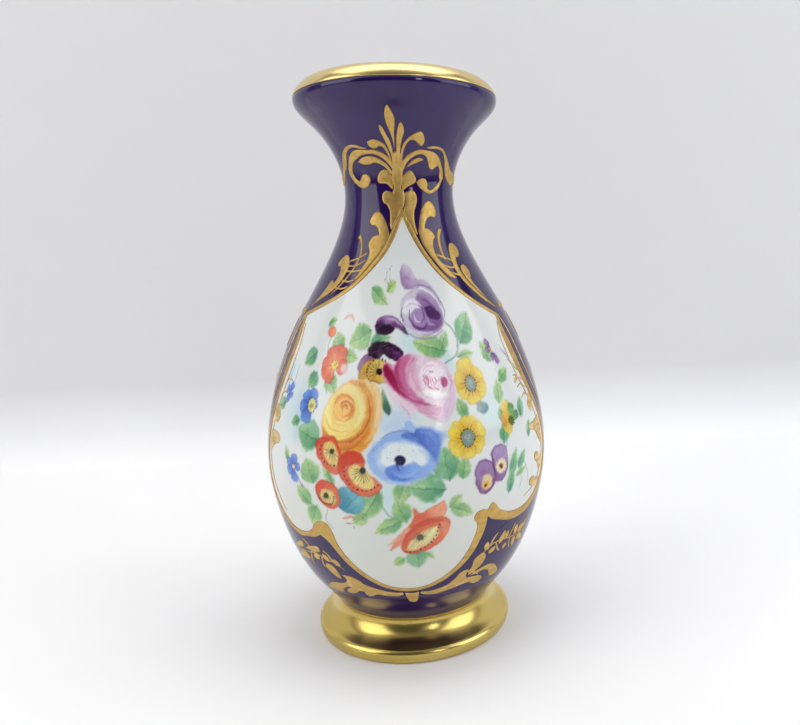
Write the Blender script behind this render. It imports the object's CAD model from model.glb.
# A footed baluster vase in glazed porcelain with gilt scroll work and painted
# enamel bouquets. All lengths below are millimetres unless a name ends in _m.
import math

import bpy
import numpy as np
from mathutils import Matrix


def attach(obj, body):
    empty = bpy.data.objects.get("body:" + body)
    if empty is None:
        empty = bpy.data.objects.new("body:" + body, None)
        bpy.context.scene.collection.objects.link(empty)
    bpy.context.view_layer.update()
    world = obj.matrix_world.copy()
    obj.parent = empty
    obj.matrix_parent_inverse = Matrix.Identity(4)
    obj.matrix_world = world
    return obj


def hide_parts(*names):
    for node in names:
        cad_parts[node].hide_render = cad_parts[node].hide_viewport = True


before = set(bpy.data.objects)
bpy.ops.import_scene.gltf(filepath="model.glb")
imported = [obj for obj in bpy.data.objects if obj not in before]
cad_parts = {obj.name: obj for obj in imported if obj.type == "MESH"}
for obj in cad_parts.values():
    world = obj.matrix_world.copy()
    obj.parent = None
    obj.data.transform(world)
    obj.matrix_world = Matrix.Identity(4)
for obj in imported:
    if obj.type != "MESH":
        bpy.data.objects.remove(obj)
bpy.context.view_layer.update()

MM = 0.001
RNG = np.random.default_rng(20417)

# ---------------------------------------------------------------------------
# Profiles: cubic B-splines, the same ones as the CAD model's
# ---------------------------------------------------------------------------
# Outer glaze line from the foot joint to the gold of the rim, as cubic
# B-spline poles: radius, height, and the outward normal used for offsets.
WALL = [
    (29.17, 13.0, 0.8135, -0.5815), (32.029, 17.0, 0.7864, -0.6177),
    (37.342, 23.0, 0.7958, -0.6056), (42.31, 31.0, 0.8898, -0.4564),
    (46.576, 41.0, 0.9442, -0.3293), (49.983, 53.0, 0.9785, -0.2065),
    (51.851, 66.0, 0.999, -0.0437), (51.164, 80.0, 0.9906, 0.1368),
    (47.984, 94.0, 0.9616, 0.2746), (43.168, 108.0, 0.9211, 0.3893),
    (36.572, 121.0, 0.876, 0.4823), (29.402, 133.0, 0.8716, 0.4902),
    (23.636, 144.0, 0.9121, 0.4099), (19.964, 154.0, 0.973, 0.2307),
    (19.012, 163.5, 0.9988, -0.0485), (20.838, 172.0, 0.9455, -0.3257),
    (24.524, 179.5, 0.8423, -0.539), (29.797, 186.0, 0.7019, -0.7123),
    (35.652, 190.682, 0.8086, -0.5883), (35.932, 193.36, 0.9999, -0.0163),
    (35.756, 194.217, 0.9796, 0.2008)]
WALL_KNOTS = [0, 1, 2, 3, 4, 5, 6, 7, 8, 9, 10, 11, 12, 13, 14, 15, 16, 17, 17.50375]
# Rolled lip above that line, over to its inner edge.
LIP = [
    (35.756, 194.217, 0.9796, 0.2008), (35.583, 195.06, 0.924, 0.3823),
    (34.274, 197.485, 0.6838, 0.7297), (31.409, 199.328, 0.3485, 0.9373),
    (27.527, 199.93, 0.06, 0.998), (26.35, 200.06, -0.2, 0.98),
    (25.25, 199.65, -0.8, 0.6), (24.95, 198.55, -1.0, 0.0),
    (25.35, 197.65, -0.8, -0.6)]
LIP_KNOTS = [0, 1, 2, 3, 4, 5, 6]
# Inside of the wall, from the lip's inner edge down to the floor.
THROAT = [
    (25.59, 197.47), (26.6, 196.75), (28.9, 195.6), (31.7, 193.6),
    (30.9, 190.3), (27.0, 187.2), (23.0, 182.6), (18.95, 175.8),
    (16.05, 166.4), (16.35, 154.6), (21.25, 141.3), (29.0, 127.4),
    (38.1, 111.8), (44.8, 93.7), (48.6, 74.0), (46.3, 48.5), (38.6, 29.6),
    (29.3, 20.3), (15.0, 16.2), (0.0, 16.2)]
THROAT_KNOTS = [i for i in range(18)]
# Bare clay line of the foot, under its gold, from the seat to the ring.
FOOT = [
    (28.40, 11.6, 1.0, -0.05), (28.60, 10.1, 0.97, 0.22), (29.9, 7.6, 0.75, 0.66),
    (32.4, 5.75, 0.36, 0.93), (35.1, 4.75, 0.36, 0.93), (36.35, 4.15, 0.75, 0.66),
    (36.6, 2.3, 1.0, 0.0), (36.1, 0.5, 0.97, -0.25)]
FOOT_KNOTS = [0, 1, 2, 3, 4, 5]


# Outline of the front white panel, clockwise from its apex: angle round the
# axis in degrees (0 = front, + = right), height, width of the gold line
# outside it, 1 at a cusp.
PANEL = [
    (2.0, 152.4, 1.9, 1), (6.3, 148.0, 1.7, 0), (13.8, 141.0, 1.7, 0),
    (22.5, 134.0, 1.7, 0), (30.0, 129.3, 1.6, 0), (40.0, 124.3, 1.5, 0),
    (48.8, 120.8, 1.5, 0), (56.5, 118.2, 1.6, 1), (54.6, 114.5, 2.4, 0),
    (54.0, 110.0, 3.4, 0), (54.7, 104.5, 3.6, 0), (57.2, 98.0, 3.0, 0),
    (61.0, 91.0, 2.4, 0), (65.5, 84.0, 2.2, 0), (68.8, 76.5, 2.2, 0),
    (69.5, 69.5, 2.4, 0), (67.0, 62.5, 2.8, 0), (62.3, 57.6, 3.0, 0),
    (56.3, 54.4, 3.2, 0), (49.6, 53.0, 3.3, 0), (42.5, 53.1, 3.2, 0),
    (36.0, 55.2, 2.6, 0), (33.1, 57.9, 2.2, 0), (31.2, 58.8, 1.6, 0),
    (29.3, 56.6, 1.2, 1), (27.2, 57.2, 1.6, 0), (24.6, 56.6, 1.8, 0),
    (23.5, 54.7, 2.4, 0), (25.0, 52.6, 2.6, 0), (25.2, 50.4, 2.6, 0),
    (24.0, 46.6, 2.9, 0), (22.4, 43.2, 2.7, 0), (19.9, 39.7, 2.3, 0),
    (16.6, 36.6, 1.9, 0), (11.8, 33.6, 1.7, 0), (6.0, 31.4, 1.6, 0),
    (0.0, 30.5, 1.6, 0), (-6.0, 30.7, 1.6, 0), (-12.0, 32.0, 1.6, 0),
    (-17.5, 34.5, 1.7, 0), (-23.0, 38.4, 1.9, 0), (-27.4, 43.0, 2.2, 0),
    (-30.0, 47.4, 2.5, 0), (-31.2, 51.6, 2.6, 0), (-33.0, 54.4, 2.2, 0),
    (-36.2, 55.1, 1.9, 0), (-39.6, 53.6, 1.6, 0), (-42.0, 51.0, 1.6, 0),
    (-46.0, 49.5, 1.9, 0), (-50.5, 49.2, 2.1, 0), (-56.0, 50.6, 2.2, 0),
    (-62.0, 54.2, 2.2, 0), (-67.0, 59.4, 2.2, 0), (-70.0, 66.0, 2.2, 0),
    (-70.3, 73.5, 2.2, 0), (-68.6, 82.0, 2.2, 0), (-65.4, 91.0, 2.3, 0),
    (-62.3, 99.5, 2.5, 0), (-60.4, 107.0, 2.7, 0), (-60.5, 113.5, 2.6, 0),
    (-63.5, 120.0, 1.6, 1), (-56.0, 121.7, 1.5, 0), (-48.0, 123.6, 1.5, 0),
    (-39.0, 126.2, 1.6, 0), (-29.5, 130.0, 1.7, 0), (-20.0, 135.3, 1.8, 0),
    (-10.0, 141.6, 1.8, 0), (-3.6, 147.2, 1.8, 0)]

# Outer edge of that gold line.
FRAME = [
    (2.1, 155.4, 1), (10.4, 148.6, 0), (17.3, 141.6, 0), (25.4, 134.8, 0),
    (32.2, 130.2, 0), (41.6, 125.3, 0), (50.1, 121.9, 0), (59.4, 118.9, 1),
    (58.0, 114.1, 0), (58.7, 110.0, 0), (59.3, 105.1, 0), (60.7, 99.0, 0),
    (63.6, 92.0, 0), (67.8, 84.9, 0), (71.2, 77.0, 0), (72.2, 69.2, 0),
    (69.8, 61.1, 0), (64.6, 55.3, 0), (57.7, 51.5, 0), (50.0, 49.8, 0),
    (41.8, 50.0, 0), (34.6, 51.9, 0), (31.9, 52.7, 0), (29.7, 54.2, 1),
    (29.4, 51.6, 0), (28.7, 48.8, 0), (27.3, 45.8, 0), (25.4, 42.1, 0),
    (22.3, 38.5, 0), (18.4, 35.4, 0), (13.1, 32.3, 0), (6.8, 30.1, 0),
    (0.2, 29.1, 0), (-6.4, 29.3, 0), (-13.0, 30.7, 0), (-18.9, 33.3, 0),
    (-24.8, 37.2, 0), (-29.7, 41.9, 0), (-32.6, 45.8, 0), (-34.9, 48.2, 0),
    (-37.6, 49.7, 1), (-41.0, 48.3, 0), (-45.4, 47.7, 0), (-50.8, 47.1, 0),
    (-57.2, 48.7, 0), (-63.7, 52.6, 0), (-69.2, 58.3, 0), (-72.4, 65.5, 0),
    (-72.8, 73.7, 0), (-71.0, 82.5, 0), (-68.0, 91.6, 0), (-65.3, 100.0, 0),
    (-64.0, 107.2, 0), (-64.2, 113.2, 0), (-66.5, 120.8, 1), (-56.9, 122.9, 0),
    (-49.1, 124.8, 0), (-40.5, 127.4, 0), (-31.7, 131.0, 0), (-22.9, 136.2, 0),
    (-13.6, 142.4, 0), (-7.8, 147.8, 0)]

# Raised gold leaves and scrolls, each a closed outline: angle, height, and a
# third number 1 at a sharp tip.
CREST = [
    # fan of the palmette
    [(-5.2, 186.6, 1), (-3.3, 185.1), (-1.5, 183.3), (-1.3, 181.7), (-2.0, 179.4), (-2.4, 176.5), (-2.9, 173.6, 1), (-3.6, 176.6), (-4.9, 178.7), (-7.2, 181.5), (-7.8, 183.8), (-6.9, 185.6)],
    [(2.8, 182.1, 1), (4.8, 180.8), (5.2, 179.0), (3.5, 176.8), (2.3, 174.0), (1.6, 171.0, 1), (-0.9, 171.0, 1), (-1.2, 174.4), (-0.6, 178.0), (0.8, 180.9)],
    [(-12.7, 181.5, 1), (-10.8, 180.9), (-8.2, 178.6), (-5.6, 176.4), (-4.3, 173.8), (-3.2, 170.9, 1), (-5.0, 170.5, 1), (-6.3, 172.8), (-8.7, 175.5), (-11.2, 177.9), (-12.9, 180.0)],
    [(-25.4, 176.8, 1), (-20.0, 177.4), (-15.0, 177.0), (-11.0, 175.9), (-8.7, 174.3), (-6.8, 172.3), (-5.5, 170.3, 1), (-6.6, 169.6, 1), (-7.8, 171.4), (-9.7, 173.3), (-12.2, 174.8), (-15.5, 175.2), (-18.4, 174.7), (-22.0, 174.8), (-24.6, 175.6)],
    [(2.2, 171.2, 1), (2.9, 173.6), (4.7, 175.8), (8.5, 177.6), (13.0, 178.9), (18.0, 179.6), (21.3, 178.4), (22.6, 176.6), (20.5, 175.4), (17.5, 175.9), (14.3, 176.8), (10.0, 176.8), (6.8, 175.3), (4.6, 173.0), (3.8, 170.9, 1)],
    # outer bands of the two scrolls
    [(-24.5, 174.9, 1), (-31.0, 175.4), (-38.0, 176.3), (-45.0, 176.5), (-51.0, 175.9), (-57.0, 174.7), (-62.5, 172.6), (-67.0, 170.4), (-72.0, 168.4), (-72.0, 165.3, 1), (-68.5, 166.5), (-64.0, 168.7), (-60.0, 169.6), (-57.0, 170.9), (-52.0, 173.8), (-46.0, 175.3), (-40.0, 175.6), (-32.0, 174.9)],
    [(24.0, 174.9, 1), (30.0, 175.5), (37.0, 175.6), (43.0, 175.1), (48.0, 173.7), (53.0, 172.2), (58.0, 170.4), (63.0, 169.0), (72.0, 168.2, 1), (72.0, 164.4, 1), (66.0, 163.9), (60.0, 164.8), (56.0, 165.9), (52.6, 167.6), (50.2, 170.2), (47.0, 172.6), (42.0, 174.3), (36.0, 174.8), (29.0, 174.7)],
    # left scroll with its curl
    [(-4.6, 169.8, 1), (-8.5, 171.8), (-13.0, 173.3), (-20.0, 174.3), (-27.0, 174.4), (-34.0, 174.7), (-41.0, 174.7), (-48.0, 173.5), (-53.0, 171.4), (-56.2, 169.2), (-56.0, 167.4), (-52.0, 165.4), (-46.0, 163.6), (-40.0, 162.6), (-34.0, 162.6), (-30.0, 163.9), (-28.4, 165.3), (-30.6, 166.5), (-34.5, 167.0), (-38.0, 166.7), (-40.0, 165.8, 1), (-42.5, 165.0), (-45.5, 165.5), (-48.6, 166.7), (-50.0, 168.4), (-48.0, 170.2), (-44.0, 171.5), (-40.0, 172.0), (-35.0, 172.8), (-28.0, 173.1), (-20.0, 172.8), (-13.0, 171.3), (-8.6, 169.6), (-6.0, 168.2, 1)],
    [(-40.4, 171.0, 1), (-35.0, 172.1), (-28.0, 172.5), (-20.0, 172.1), (-13.0, 170.6), (-8.8, 168.9), (-5.5, 166.9, 1), (-6.5, 166.3, 1), (-11.0, 168.2), (-16.0, 169.6), (-22.0, 170.3), (-28.0, 169.9), (-34.0, 170.1)],
    # right scroll with its curl
    [(1.6, 168.6, 1), (4.2, 170.7), (9.0, 172.7), (15.0, 173.9), (20.0, 174.3), (27.0, 174.1), (34.0, 173.7), (40.0, 172.5), (45.0, 170.3), (49.0, 168.0), (50.0, 165.9), (48.5, 164.9), (44.0, 162.4), (38.0, 161.0), (32.0, 160.2), (27.0, 160.7), (22.0, 161.8), (18.5, 163.2), (17.6, 164.2), (22.0, 165.2), (27.0, 165.1), (29.6, 163.6), (29.2, 161.9, 1), (33.0, 161.5), (38.0, 162.5), (42.0, 163.7), (45.2, 165.0), (43.6, 166.6), (44.0, 168.3), (41.0, 169.6), (38.0, 169.1), (34.0, 168.2), (30.5, 168.9), (28.5, 170.8), (25.5, 172.3), (20.0, 172.8), (14.0, 172.0), (9.0, 170.5), (6.0, 168.7), (3.6, 166.9, 1)],
    [(24.4, 171.2, 1), (19.5, 171.8), (14.0, 171.2), (9.6, 169.7), (7.3, 168.4, 1), (13.0, 169.5), (18.0, 170.2)],
    # hub and stem down to the panel's apex
    [(-4.4, 169.2, 1), (-0.6, 170.2), (1.2, 168.0, 1), (2.6, 165.8), (2.2, 163.0), (2.6, 160.2), (5.2, 160.6, 1), (5.2, 158.6), (4.4, 156.6), (2.6, 154.9, 1), (1.6, 154.4), (-2.0, 151.6), (-5.5, 148.4), (-7.6, 147.6, 1), (-9.3, 149.6), (-9.2, 152.0), (-9.9, 154.6), (-12.4, 156.5), (-15.6, 157.2), (-17.3, 158.7), (-16.4, 160.4), (-13.0, 161.2), (-8.8, 161.0), (-5.6, 160.2, 1), (-5.0, 162.6), (-5.4, 165.0), (-4.6, 167.4)],
    # lower leaves left and right of the hub
    [(-5.9, 165.8, 1), (-10.0, 167.8), (-15.0, 168.0), (-19.0, 166.9), (-21.2, 165.4), (-20.4, 163.9), (-16.5, 163.6), (-12.0, 163.4), (-9.0, 162.4), (-6.0, 161.4, 1), (-5.7, 163.6)],
    [(3.6, 165.6, 1), (8.0, 167.4), (12.0, 167.6), (15.4, 166.2), (17.2, 164.5), (14.0, 163.3), (9.0, 162.5), (5.2, 161.5), (3.2, 161.3, 1), (2.9, 163.4)],
    [(5.6, 160.4, 1), (8.2, 161.0), (12.0, 161.4), (15.8, 160.5), (17.4, 158.3), (15.8, 156.0), (13.8, 154.4), (13.0, 151.8), (13.2, 149.6), (14.4, 146.4, 1), (11.0, 146.8), (7.6, 149.8), (4.8, 153.0), (3.4, 154.8, 1), (5.2, 156.6), (5.8, 158.4)],
]
SCROLLS = [
    # left acanthus along the shoulder
    [(-8.2, 145.3, 1), (-9.6, 146.7), (-11.2, 148.9), (-14.5, 151.9), (-18.0, 153.9), (-22.0, 154.5), (-26.0, 153.6), (-29.3, 151.2, 1), (-27.0, 150.0), (-23.5, 149.7), (-20.5, 148.9), (-18.4, 146.6, 1), (-20.5, 146.5), (-24.0, 146.0), (-26.9, 143.9), (-26.3, 142.5), (-24.9, 141.0), (-25.4, 138.6), (-28.0, 135.9), (-32.6, 131.6, 1), (-28.5, 132.8), (-20.0, 137.3), (-13.0, 141.7)],
    [(-38.8, 145.7, 1), (-36.5, 146.8), (-34.0, 145.7), (-32.0, 143.5), (-30.9, 140.9), (-31.8, 137.9), (-34.6, 134.8), (-39.0, 131.3), (-44.6, 128.2), (-49.4, 126.2, 1), (-44.0, 129.2), (-39.0, 132.7), (-35.2, 136.0), (-33.2, 138.9), (-33.0, 141.2), (-34.2, 143.7), (-36.4, 145.2)],
    [(-52.8, 137.3, 1), (-50.0, 139.1), (-46.0, 140.2), (-42.3, 139.4), (-40.0, 137.2), (-40.0, 134.4), (-42.4, 131.4), (-46.0, 129.0), (-51.0, 126.9), (-56.0, 125.3), (-62.0, 123.4), (-66.0, 122.4, 1), (-60.5, 124.9), (-56.5, 127.4), (-54.2, 129.9), (-52.3, 131.7), (-49.6, 131.4), (-48.4, 130.8), (-46.9, 132.7), (-46.7, 134.9), (-48.5, 136.3), (-50.8, 136.4)],
    # left lattice bars
    [(-26.2, 140.9, 1), (-33.0, 139.3), (-40.2, 138.3, 1), (-40.2, 137.7, 1), (-33.0, 138.6), (-26.2, 140.2, 1)],
    [(-26.6, 138.6, 1), (-33.0, 136.9), (-40.5, 136.7, 1), (-40.5, 136.1, 1), (-33.0, 136.3), (-26.6, 137.9, 1)],
    [(-28.6, 135.3, 1), (-34.0, 134.9), (-40.3, 135.1, 1), (-40.3, 134.5, 1), (-34.0, 134.3), (-28.6, 134.7, 1)],
    [(-32.0, 132.1, 1), (-36.5, 131.6), (-41.6, 132.0, 1), (-41.8, 131.3, 1), (-36.5, 131.0), (-32.0, 131.5, 1)],
    [(-35.2, 130.0, 1), (-40.0, 129.3), (-45.4, 129.7, 1), (-45.8, 129.1, 1), (-40.0, 128.7), (-35.2, 129.3, 1)],
    # right acanthus along the shoulder
    [(15.2, 147.4, 1), (18.3, 152.4), (22.0, 155.8), (26.0, 157.5), (30.0, 157.9), (34.0, 157.0), (36.7, 154.9), (35.8, 152.9), (32.6, 152.2), (29.5, 152.5), (26.0, 151.9), (23.2, 150.3), (21.4, 148.6, 1), (24.4, 148.4), (27.6, 147.4), (29.7, 145.7), (27.6, 144.6), (26.0, 143.0), (25.7, 140.6), (27.2, 138.4), (30.2, 136.3), (34.0, 133.8), (37.4, 131.4, 1), (33.0, 131.8), (29.5, 133.1), (24.0, 136.9), (17.5, 142.6)],
    [(38.6, 148.2, 1), (35.6, 148.5), (32.5, 147.1), (30.6, 144.4), (30.1, 141.0), (31.2, 138.2, 1), (33.6, 137.4, 1), (32.8, 140.4), (33.1, 143.0), (34.4, 145.4), (36.7, 147.1)],
    [(50.4, 141.1, 1), (48.0, 142.9), (44.5, 143.6), (41.0, 142.7), (38.5, 140.2), (37.8, 137.0), (38.8, 133.6), (42.0, 130.2), (47.0, 126.8), (52.0, 124.2), (58.0, 121.9), (64.0, 120.6, 1), (58.0, 123.2), (53.0, 125.6), (47.6, 129.0), (43.9, 132.4), (42.6, 135.6), (43.7, 138.3), (46.8, 138.7), (49.2, 139.7)],
    [(43.6, 133.9, 1), (45.2, 135.6), (48.4, 136.2), (51.0, 135.2), (52.4, 133.5), (51.2, 132.2), (49.8, 131.4), (50.8, 129.5), (54.0, 126.6), (58.0, 123.7, 1), (52.4, 126.4), (46.8, 130.2)],
    # right lattice bars
    [(26.3, 140.0, 1), (31.0, 139.2), (38.0, 138.0, 1), (38.0, 137.3, 1), (31.0, 138.4), (26.5, 139.1, 1)],
    [(29.8, 136.6, 1), (34.0, 135.6), (38.4, 135.6, 1), (38.5, 134.9, 1), (34.0, 134.9), (30.4, 135.8, 1)],
    [(34.5, 133.9, 1), (37.0, 133.4), (40.0, 133.0, 1), (40.5, 132.3, 1), (37.0, 132.6), (35.0, 133.2, 1)],
    # leaf tufts that lean from the frame into the white
    [(55.8, 98.6, 1), (54.0, 96.6), (51.0, 95.4), (49.6, 95.9), (51.2, 97.4), (53.6, 98.2)],
    [(61.0, 92.2, 1), (58.2, 90.6), (55.6, 87.8), (56.6, 85.6), (59.0, 83.9), (60.6, 85.6), (63.2, 88.2, 1), (62.4, 90.0)],
    [(66.0, 84.2, 1), (62.0, 83.2), (57.0, 82.4), (53.0, 81.9), (51.9, 80.4), (54.4, 79.0), (57.6, 78.2), (60.4, 76.6), (63.4, 72.8), (68.4, 69.6, 1), (68.8, 74.0), (68.0, 79.6)],
    [(68.3, 67.0, 1), (64.0, 68.6), (60.6, 71.2), (57.0, 71.6), (55.6, 69.6), (57.2, 67.4), (60.4, 65.4), (62.6, 62.0), (66.0, 61.6, 1)],
    [(65.6, 60.4, 1), (61.0, 61.0), (56.6, 63.0), (52.6, 62.8), (51.6, 60.6), (53.8, 58.6), (57.6, 57.8), (60.2, 56.9, 1), (63.0, 58.2)],
    [(-65.0, 92.0, 1), (-61.0, 90.8), (-58.4, 87.6), (-59.4, 84.8), (-62.4, 83.6), (-66.0, 85.4), (-67.4, 87.0, 1)],
    [(-68.8, 82.4, 1), (-64.0, 82.9), (-58.6, 82.6), (-55.6, 80.8), (-56.6, 78.2), (-60.6, 77.2), (-64.8, 75.0), (-69.9, 72.0, 1), (-70.0, 77.0)],
]
BASE = [
    # drop under the panel
    [(-4.7, 28.4, 1), (-3.9, 25.8), (-2.7, 23.9), (-0.4, 23.2), (1.2, 24.0), (1.7, 26.0), (2.0, 28.4, 1), (-1.0, 28.2)],
    # right run of leaves
    [(3.0, 28.5, 1), (7.0, 28.4), (11.0, 28.9), (15.5, 30.1), (18.6, 32.2), (20.6, 34.3), (24.6, 35.1, 1), (24.0, 33.0), (24.6, 31.3), (28.0, 30.8), (31.5, 30.5), (34.3, 29.2), (34.2, 27.7), (31.8, 27.0), (29.0, 27.5), (26.5, 28.6), (22.0, 28.3), (16.0, 27.3), (10.0, 26.5), (5.5, 26.7), (2.6, 27.6, 1)],
    [(25.2, 31.9, 1), (24.8, 33.8), (25.9, 35.7), (26.2, 38.2), (28.0, 39.7), (30.6, 40.2), (32.4, 38.4), (31.8, 36.0), (30.0, 34.4), (28.0, 33.2)],
    [(25.6, 31.4, 1), (28.6, 32.9), (32.0, 33.8), (36.0, 34.1), (40.0, 33.0), (43.0, 31.1), (45.6, 29.0), (46.0, 27.8), (43.5, 27.2), (40.5, 27.6), (38.5, 29.4), (36.6, 31.4), (33.6, 32.2), (30.0, 31.9)],
    # left run of leaves
    [(-5.6, 28.7, 1), (-9.0, 28.6), (-13.0, 29.2), (-18.0, 30.2), (-22.0, 31.4), (-26.0, 33.0), (-29.6, 34.4), (-33.2, 34.6, 1), (-31.6, 32.6), (-33.0, 31.3), (-36.0, 30.4), (-41.0, 29.7), (-45.0, 28.4), (-48.6, 26.2), (-47.6, 25.2), (-43.0, 25.2), (-38.4, 25.4), (-36.6, 27.4), (-33.5, 28.9), (-31.0, 29.2, 1), (-33.4, 28.2), (-35.0, 27.0), (-34.6, 26.1), (-32.0, 26.0), (-29.4, 26.8), (-27.2, 27.9), (-24.2, 28.0, 1), (-24.4, 26.9), (-22.5, 26.0), (-20.3, 26.4), (-18.0, 27.3), (-12.0, 26.7), (-8.0, 26.7), (-5.2, 27.5, 1)],
    [(-34.4, 32.2, 1), (-37.6, 33.4), (-40.2, 35.4), (-40.9, 37.4), (-39.4, 38.2), (-36.6, 37.9), (-35.0, 36.0), (-34.4, 34.0)],
    # right garland
    [(30.2, 42.8), (31.6, 44.4, 1), (32.9, 43.0), (33.3, 41.4), (32.6, 40.7, 1), (30.8, 41.2)],
    [(33.2, 40.2, 1), (35.0, 41.1), (37.0, 41.2, 1), (36.6, 39.6), (35.0, 38.9), (33.6, 39.0)],
    [(38.6, 41.2, 1), (38.2, 43.6), (39.6, 45.6), (41.0, 46.4, 1), (41.6, 44.4), (40.8, 42.6)],
    [(41.6, 42.9, 1), (42.0, 45.0), (43.4, 45.7, 1), (43.9, 43.9), (43.0, 42.8)],
    [(41.4, 39.5, 1), (42.8, 40.7), (44.2, 40.4), (43.6, 39.0), (42.2, 38.5)],
    [(47.8, 42.6, 1), (47.6, 45.4), (49.6, 46.3, 1), (50.4, 44.4), (49.8, 42.8)],
    [(50.6, 42.9, 1), (51.6, 44.8), (54.6, 45.4), (58.0, 44.2, 1), (55.4, 42.8), (52.8, 42.2)],
    [(48.0, 41.6, 1), (48.4, 38.8), (50.2, 36.9, 1), (51.0, 39.0), (50.4, 41.0)],
    [(51.4, 41.2, 1), (52.6, 39.4), (55.4, 38.4), (58.2, 38.4, 1), (56.6, 40.4), (54.0, 41.5)],
    # left garland
    [(-31.6, 38.6, 1), (-33.0, 40.4), (-35.6, 40.9, 1), (-35.2, 39.2), (-33.4, 38.1)],
    [(-36.4, 39.6, 1), (-38.2, 41.6), (-40.6, 42.0, 1), (-40.0, 40.0), (-38.0, 39.1)],
    [(-40.6, 42.8, 1), (-41.8, 44.4), (-46.0, 43.9), (-51.6, 41.9, 1), (-47.0, 41.7), (-43.0, 41.9)],
    [(-42.4, 40.8, 1), (-44.0, 41.4), (-46.6, 40.2), (-45.8, 38.8), (-43.4, 38.9)],
    [(-51.4, 43.6), (-53.2, 44.3), (-57.6, 42.5), (-61.5, 40.9, 1), (-57.0, 40.9), (-53.4, 41.6)],
    [(-50.0, 38.0, 1), (-52.8, 40.3), (-57.0, 39.6), (-60.0, 37.2, 1), (-55.8, 36.8), (-52.6, 37.0)],
]
# Side ornament, angles measured from the side itself.
SIDE = [
    # three-leaf drop under the shoulder line
    [(0.0, 119.0, 1), (2.2, 116.0), (3.0, 112.0), (1.8, 108.0), (0.0, 104.0, 1), (-1.8, 108.0), (-3.0, 112.0), (-2.2, 116.0)],
    [(3.0, 119.0, 1), (7.0, 117.6), (9.6, 114.4), (9.4, 110.8), (6.8, 108.2, 1), (7.0, 111.2), (5.6, 114.4), (3.4, 116.4)],
    [(-3.0, 119.0, 1), (-3.4, 116.4), (-5.6, 114.4), (-7.0, 111.2), (-6.8, 108.2, 1), (-9.4, 110.8), (-9.6, 114.4), (-7.0, 117.6)],
    # upright palmette low on the side
    [(0.0, 41.0, 1), (1.9, 37.6), (2.2, 33.6), (1.2, 29.6), (0.0, 26.6, 1), (-1.2, 29.6), (-2.2, 33.6), (-1.9, 37.6)],
    [(9.4, 38.4, 1), (9.6, 34.4), (7.4, 31.0), (3.6, 28.6), (1.0, 26.2, 1), (2.6, 30.2), (5.0, 33.4), (7.0, 35.6)],
    [(-9.4, 38.4, 1), (-7.0, 35.6), (-5.0, 33.4), (-2.6, 30.2), (-1.0, 26.2, 1), (-3.6, 28.6), (-7.4, 31.0), (-9.6, 34.4)],
    [(17.6, 32.0, 1), (15.6, 29.2), (11.6, 27.2), (6.4, 26.2), (1.8, 24.6, 1), (5.0, 27.6), (9.6, 29.8), (13.8, 31.0)],
    [(-17.6, 32.0, 1), (-13.8, 31.0), (-9.6, 29.8), (-5.0, 27.6), (-1.8, 24.6, 1), (-6.4, 26.2), (-11.6, 27.2), (-15.6, 29.2)],
    [(0.0, 24.6, 1), (2.2, 22.4), (0.0, 19.4, 1), (-2.2, 22.4)],
    # small sprigs between
    [(0.0, 51.6, 1), (1.3, 48.6), (0.0, 44.6, 1), (-1.3, 48.6)],
    [(5.4, 50.6, 1), (4.9, 47.8), (1.5, 44.4, 1), (2.9, 48.4)],
    [(-5.4, 50.6, 1), (-2.9, 48.4), (-1.5, 44.4, 1), (-4.9, 47.8)],
    [(0.0, 96.0, 1), (1.2, 93.4), (0.0, 90.0, 1), (-1.2, 93.4)],
    [(4.6, 99.4, 1), (4.8, 96.4), (1.6, 92.6, 1), (2.6, 96.6)],
    [(-4.6, 99.4, 1), (-2.6, 96.6), (-1.6, 92.6, 1), (-4.8, 96.4)],
]


def bspline(poles, knots, n, off=0.0):
    """Points and outward unit normals of a clamped cubic B-spline."""
    P = np.array([(p[0], p[1]) for p in poles], float)
    t = np.array([knots[0]] * 3 + list(knots) + [knots[-1]] * 3, float)
    u = np.linspace(knots[0], knots[-1], n)

    def basis(u, t, k, m):
        B = np.zeros((len(u), len(t) - 1))
        for i in range(len(t) - 1):
            B[:, i] = (u >= t[i]) & (u < t[i + 1])
        B[u >= t[-1], m - 1] = 1.0
        for d in range(1, k + 1):
            C = np.zeros((len(u), len(t) - 1 - d))
            for i in range(len(t) - 1 - d):
                a = t[i + d] - t[i]
                b = t[i + d + 1] - t[i + 1]
                if a > 0:
                    C[:, i] += (u - t[i]) / a * B[:, i]
                if b > 0:
                    C[:, i] += (t[i + d + 1] - u) / b * B[:, i + 1]
            B = C
        return B

    X = basis(u, t, 3, len(P)) @ P
    D = np.gradient(X, axis=0)
    N = np.stack([D[:, 1], -D[:, 0]], 1)
    N /= np.linalg.norm(N, axis=1)[:, None]
    return X + off * N, N


WALL_X, WALL_N = bspline(WALL, WALL_KNOTS, 4001)
WALL_S = np.concatenate([[0], np.cumsum(np.hypot(*np.diff(WALL_X, axis=0).T))])


def rad(z):
    return np.interp(z, WALL_X[:, 1], WALL_X[:, 0])


def arc(z):
    return np.interp(z, WALL_X[:, 1], WALL_S)


def on_wall(phi, z, h=0.0, mirror=False):
    """Points on the glaze at angle phi (degrees) and height z, raised by h."""
    r = np.interp(z, WALL_X[:, 1], WALL_X[:, 0])
    nr = np.interp(z, WALL_X[:, 1], WALL_N[:, 0])
    nz = np.interp(z, WALL_X[:, 1], WALL_N[:, 1])
    a = np.radians(phi)
    rr = r + h * nr
    y = -rr * np.cos(a)
    if mirror:
        y = -y
    return np.stack([rr * np.sin(a), y, z + h * nz], -1) * MM


def lin(c):
    c = np.asarray(c, float)
    return np.where(c <= 0.04045, c / 12.92, ((c + 0.055) / 1.055) ** 2.4)


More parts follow.
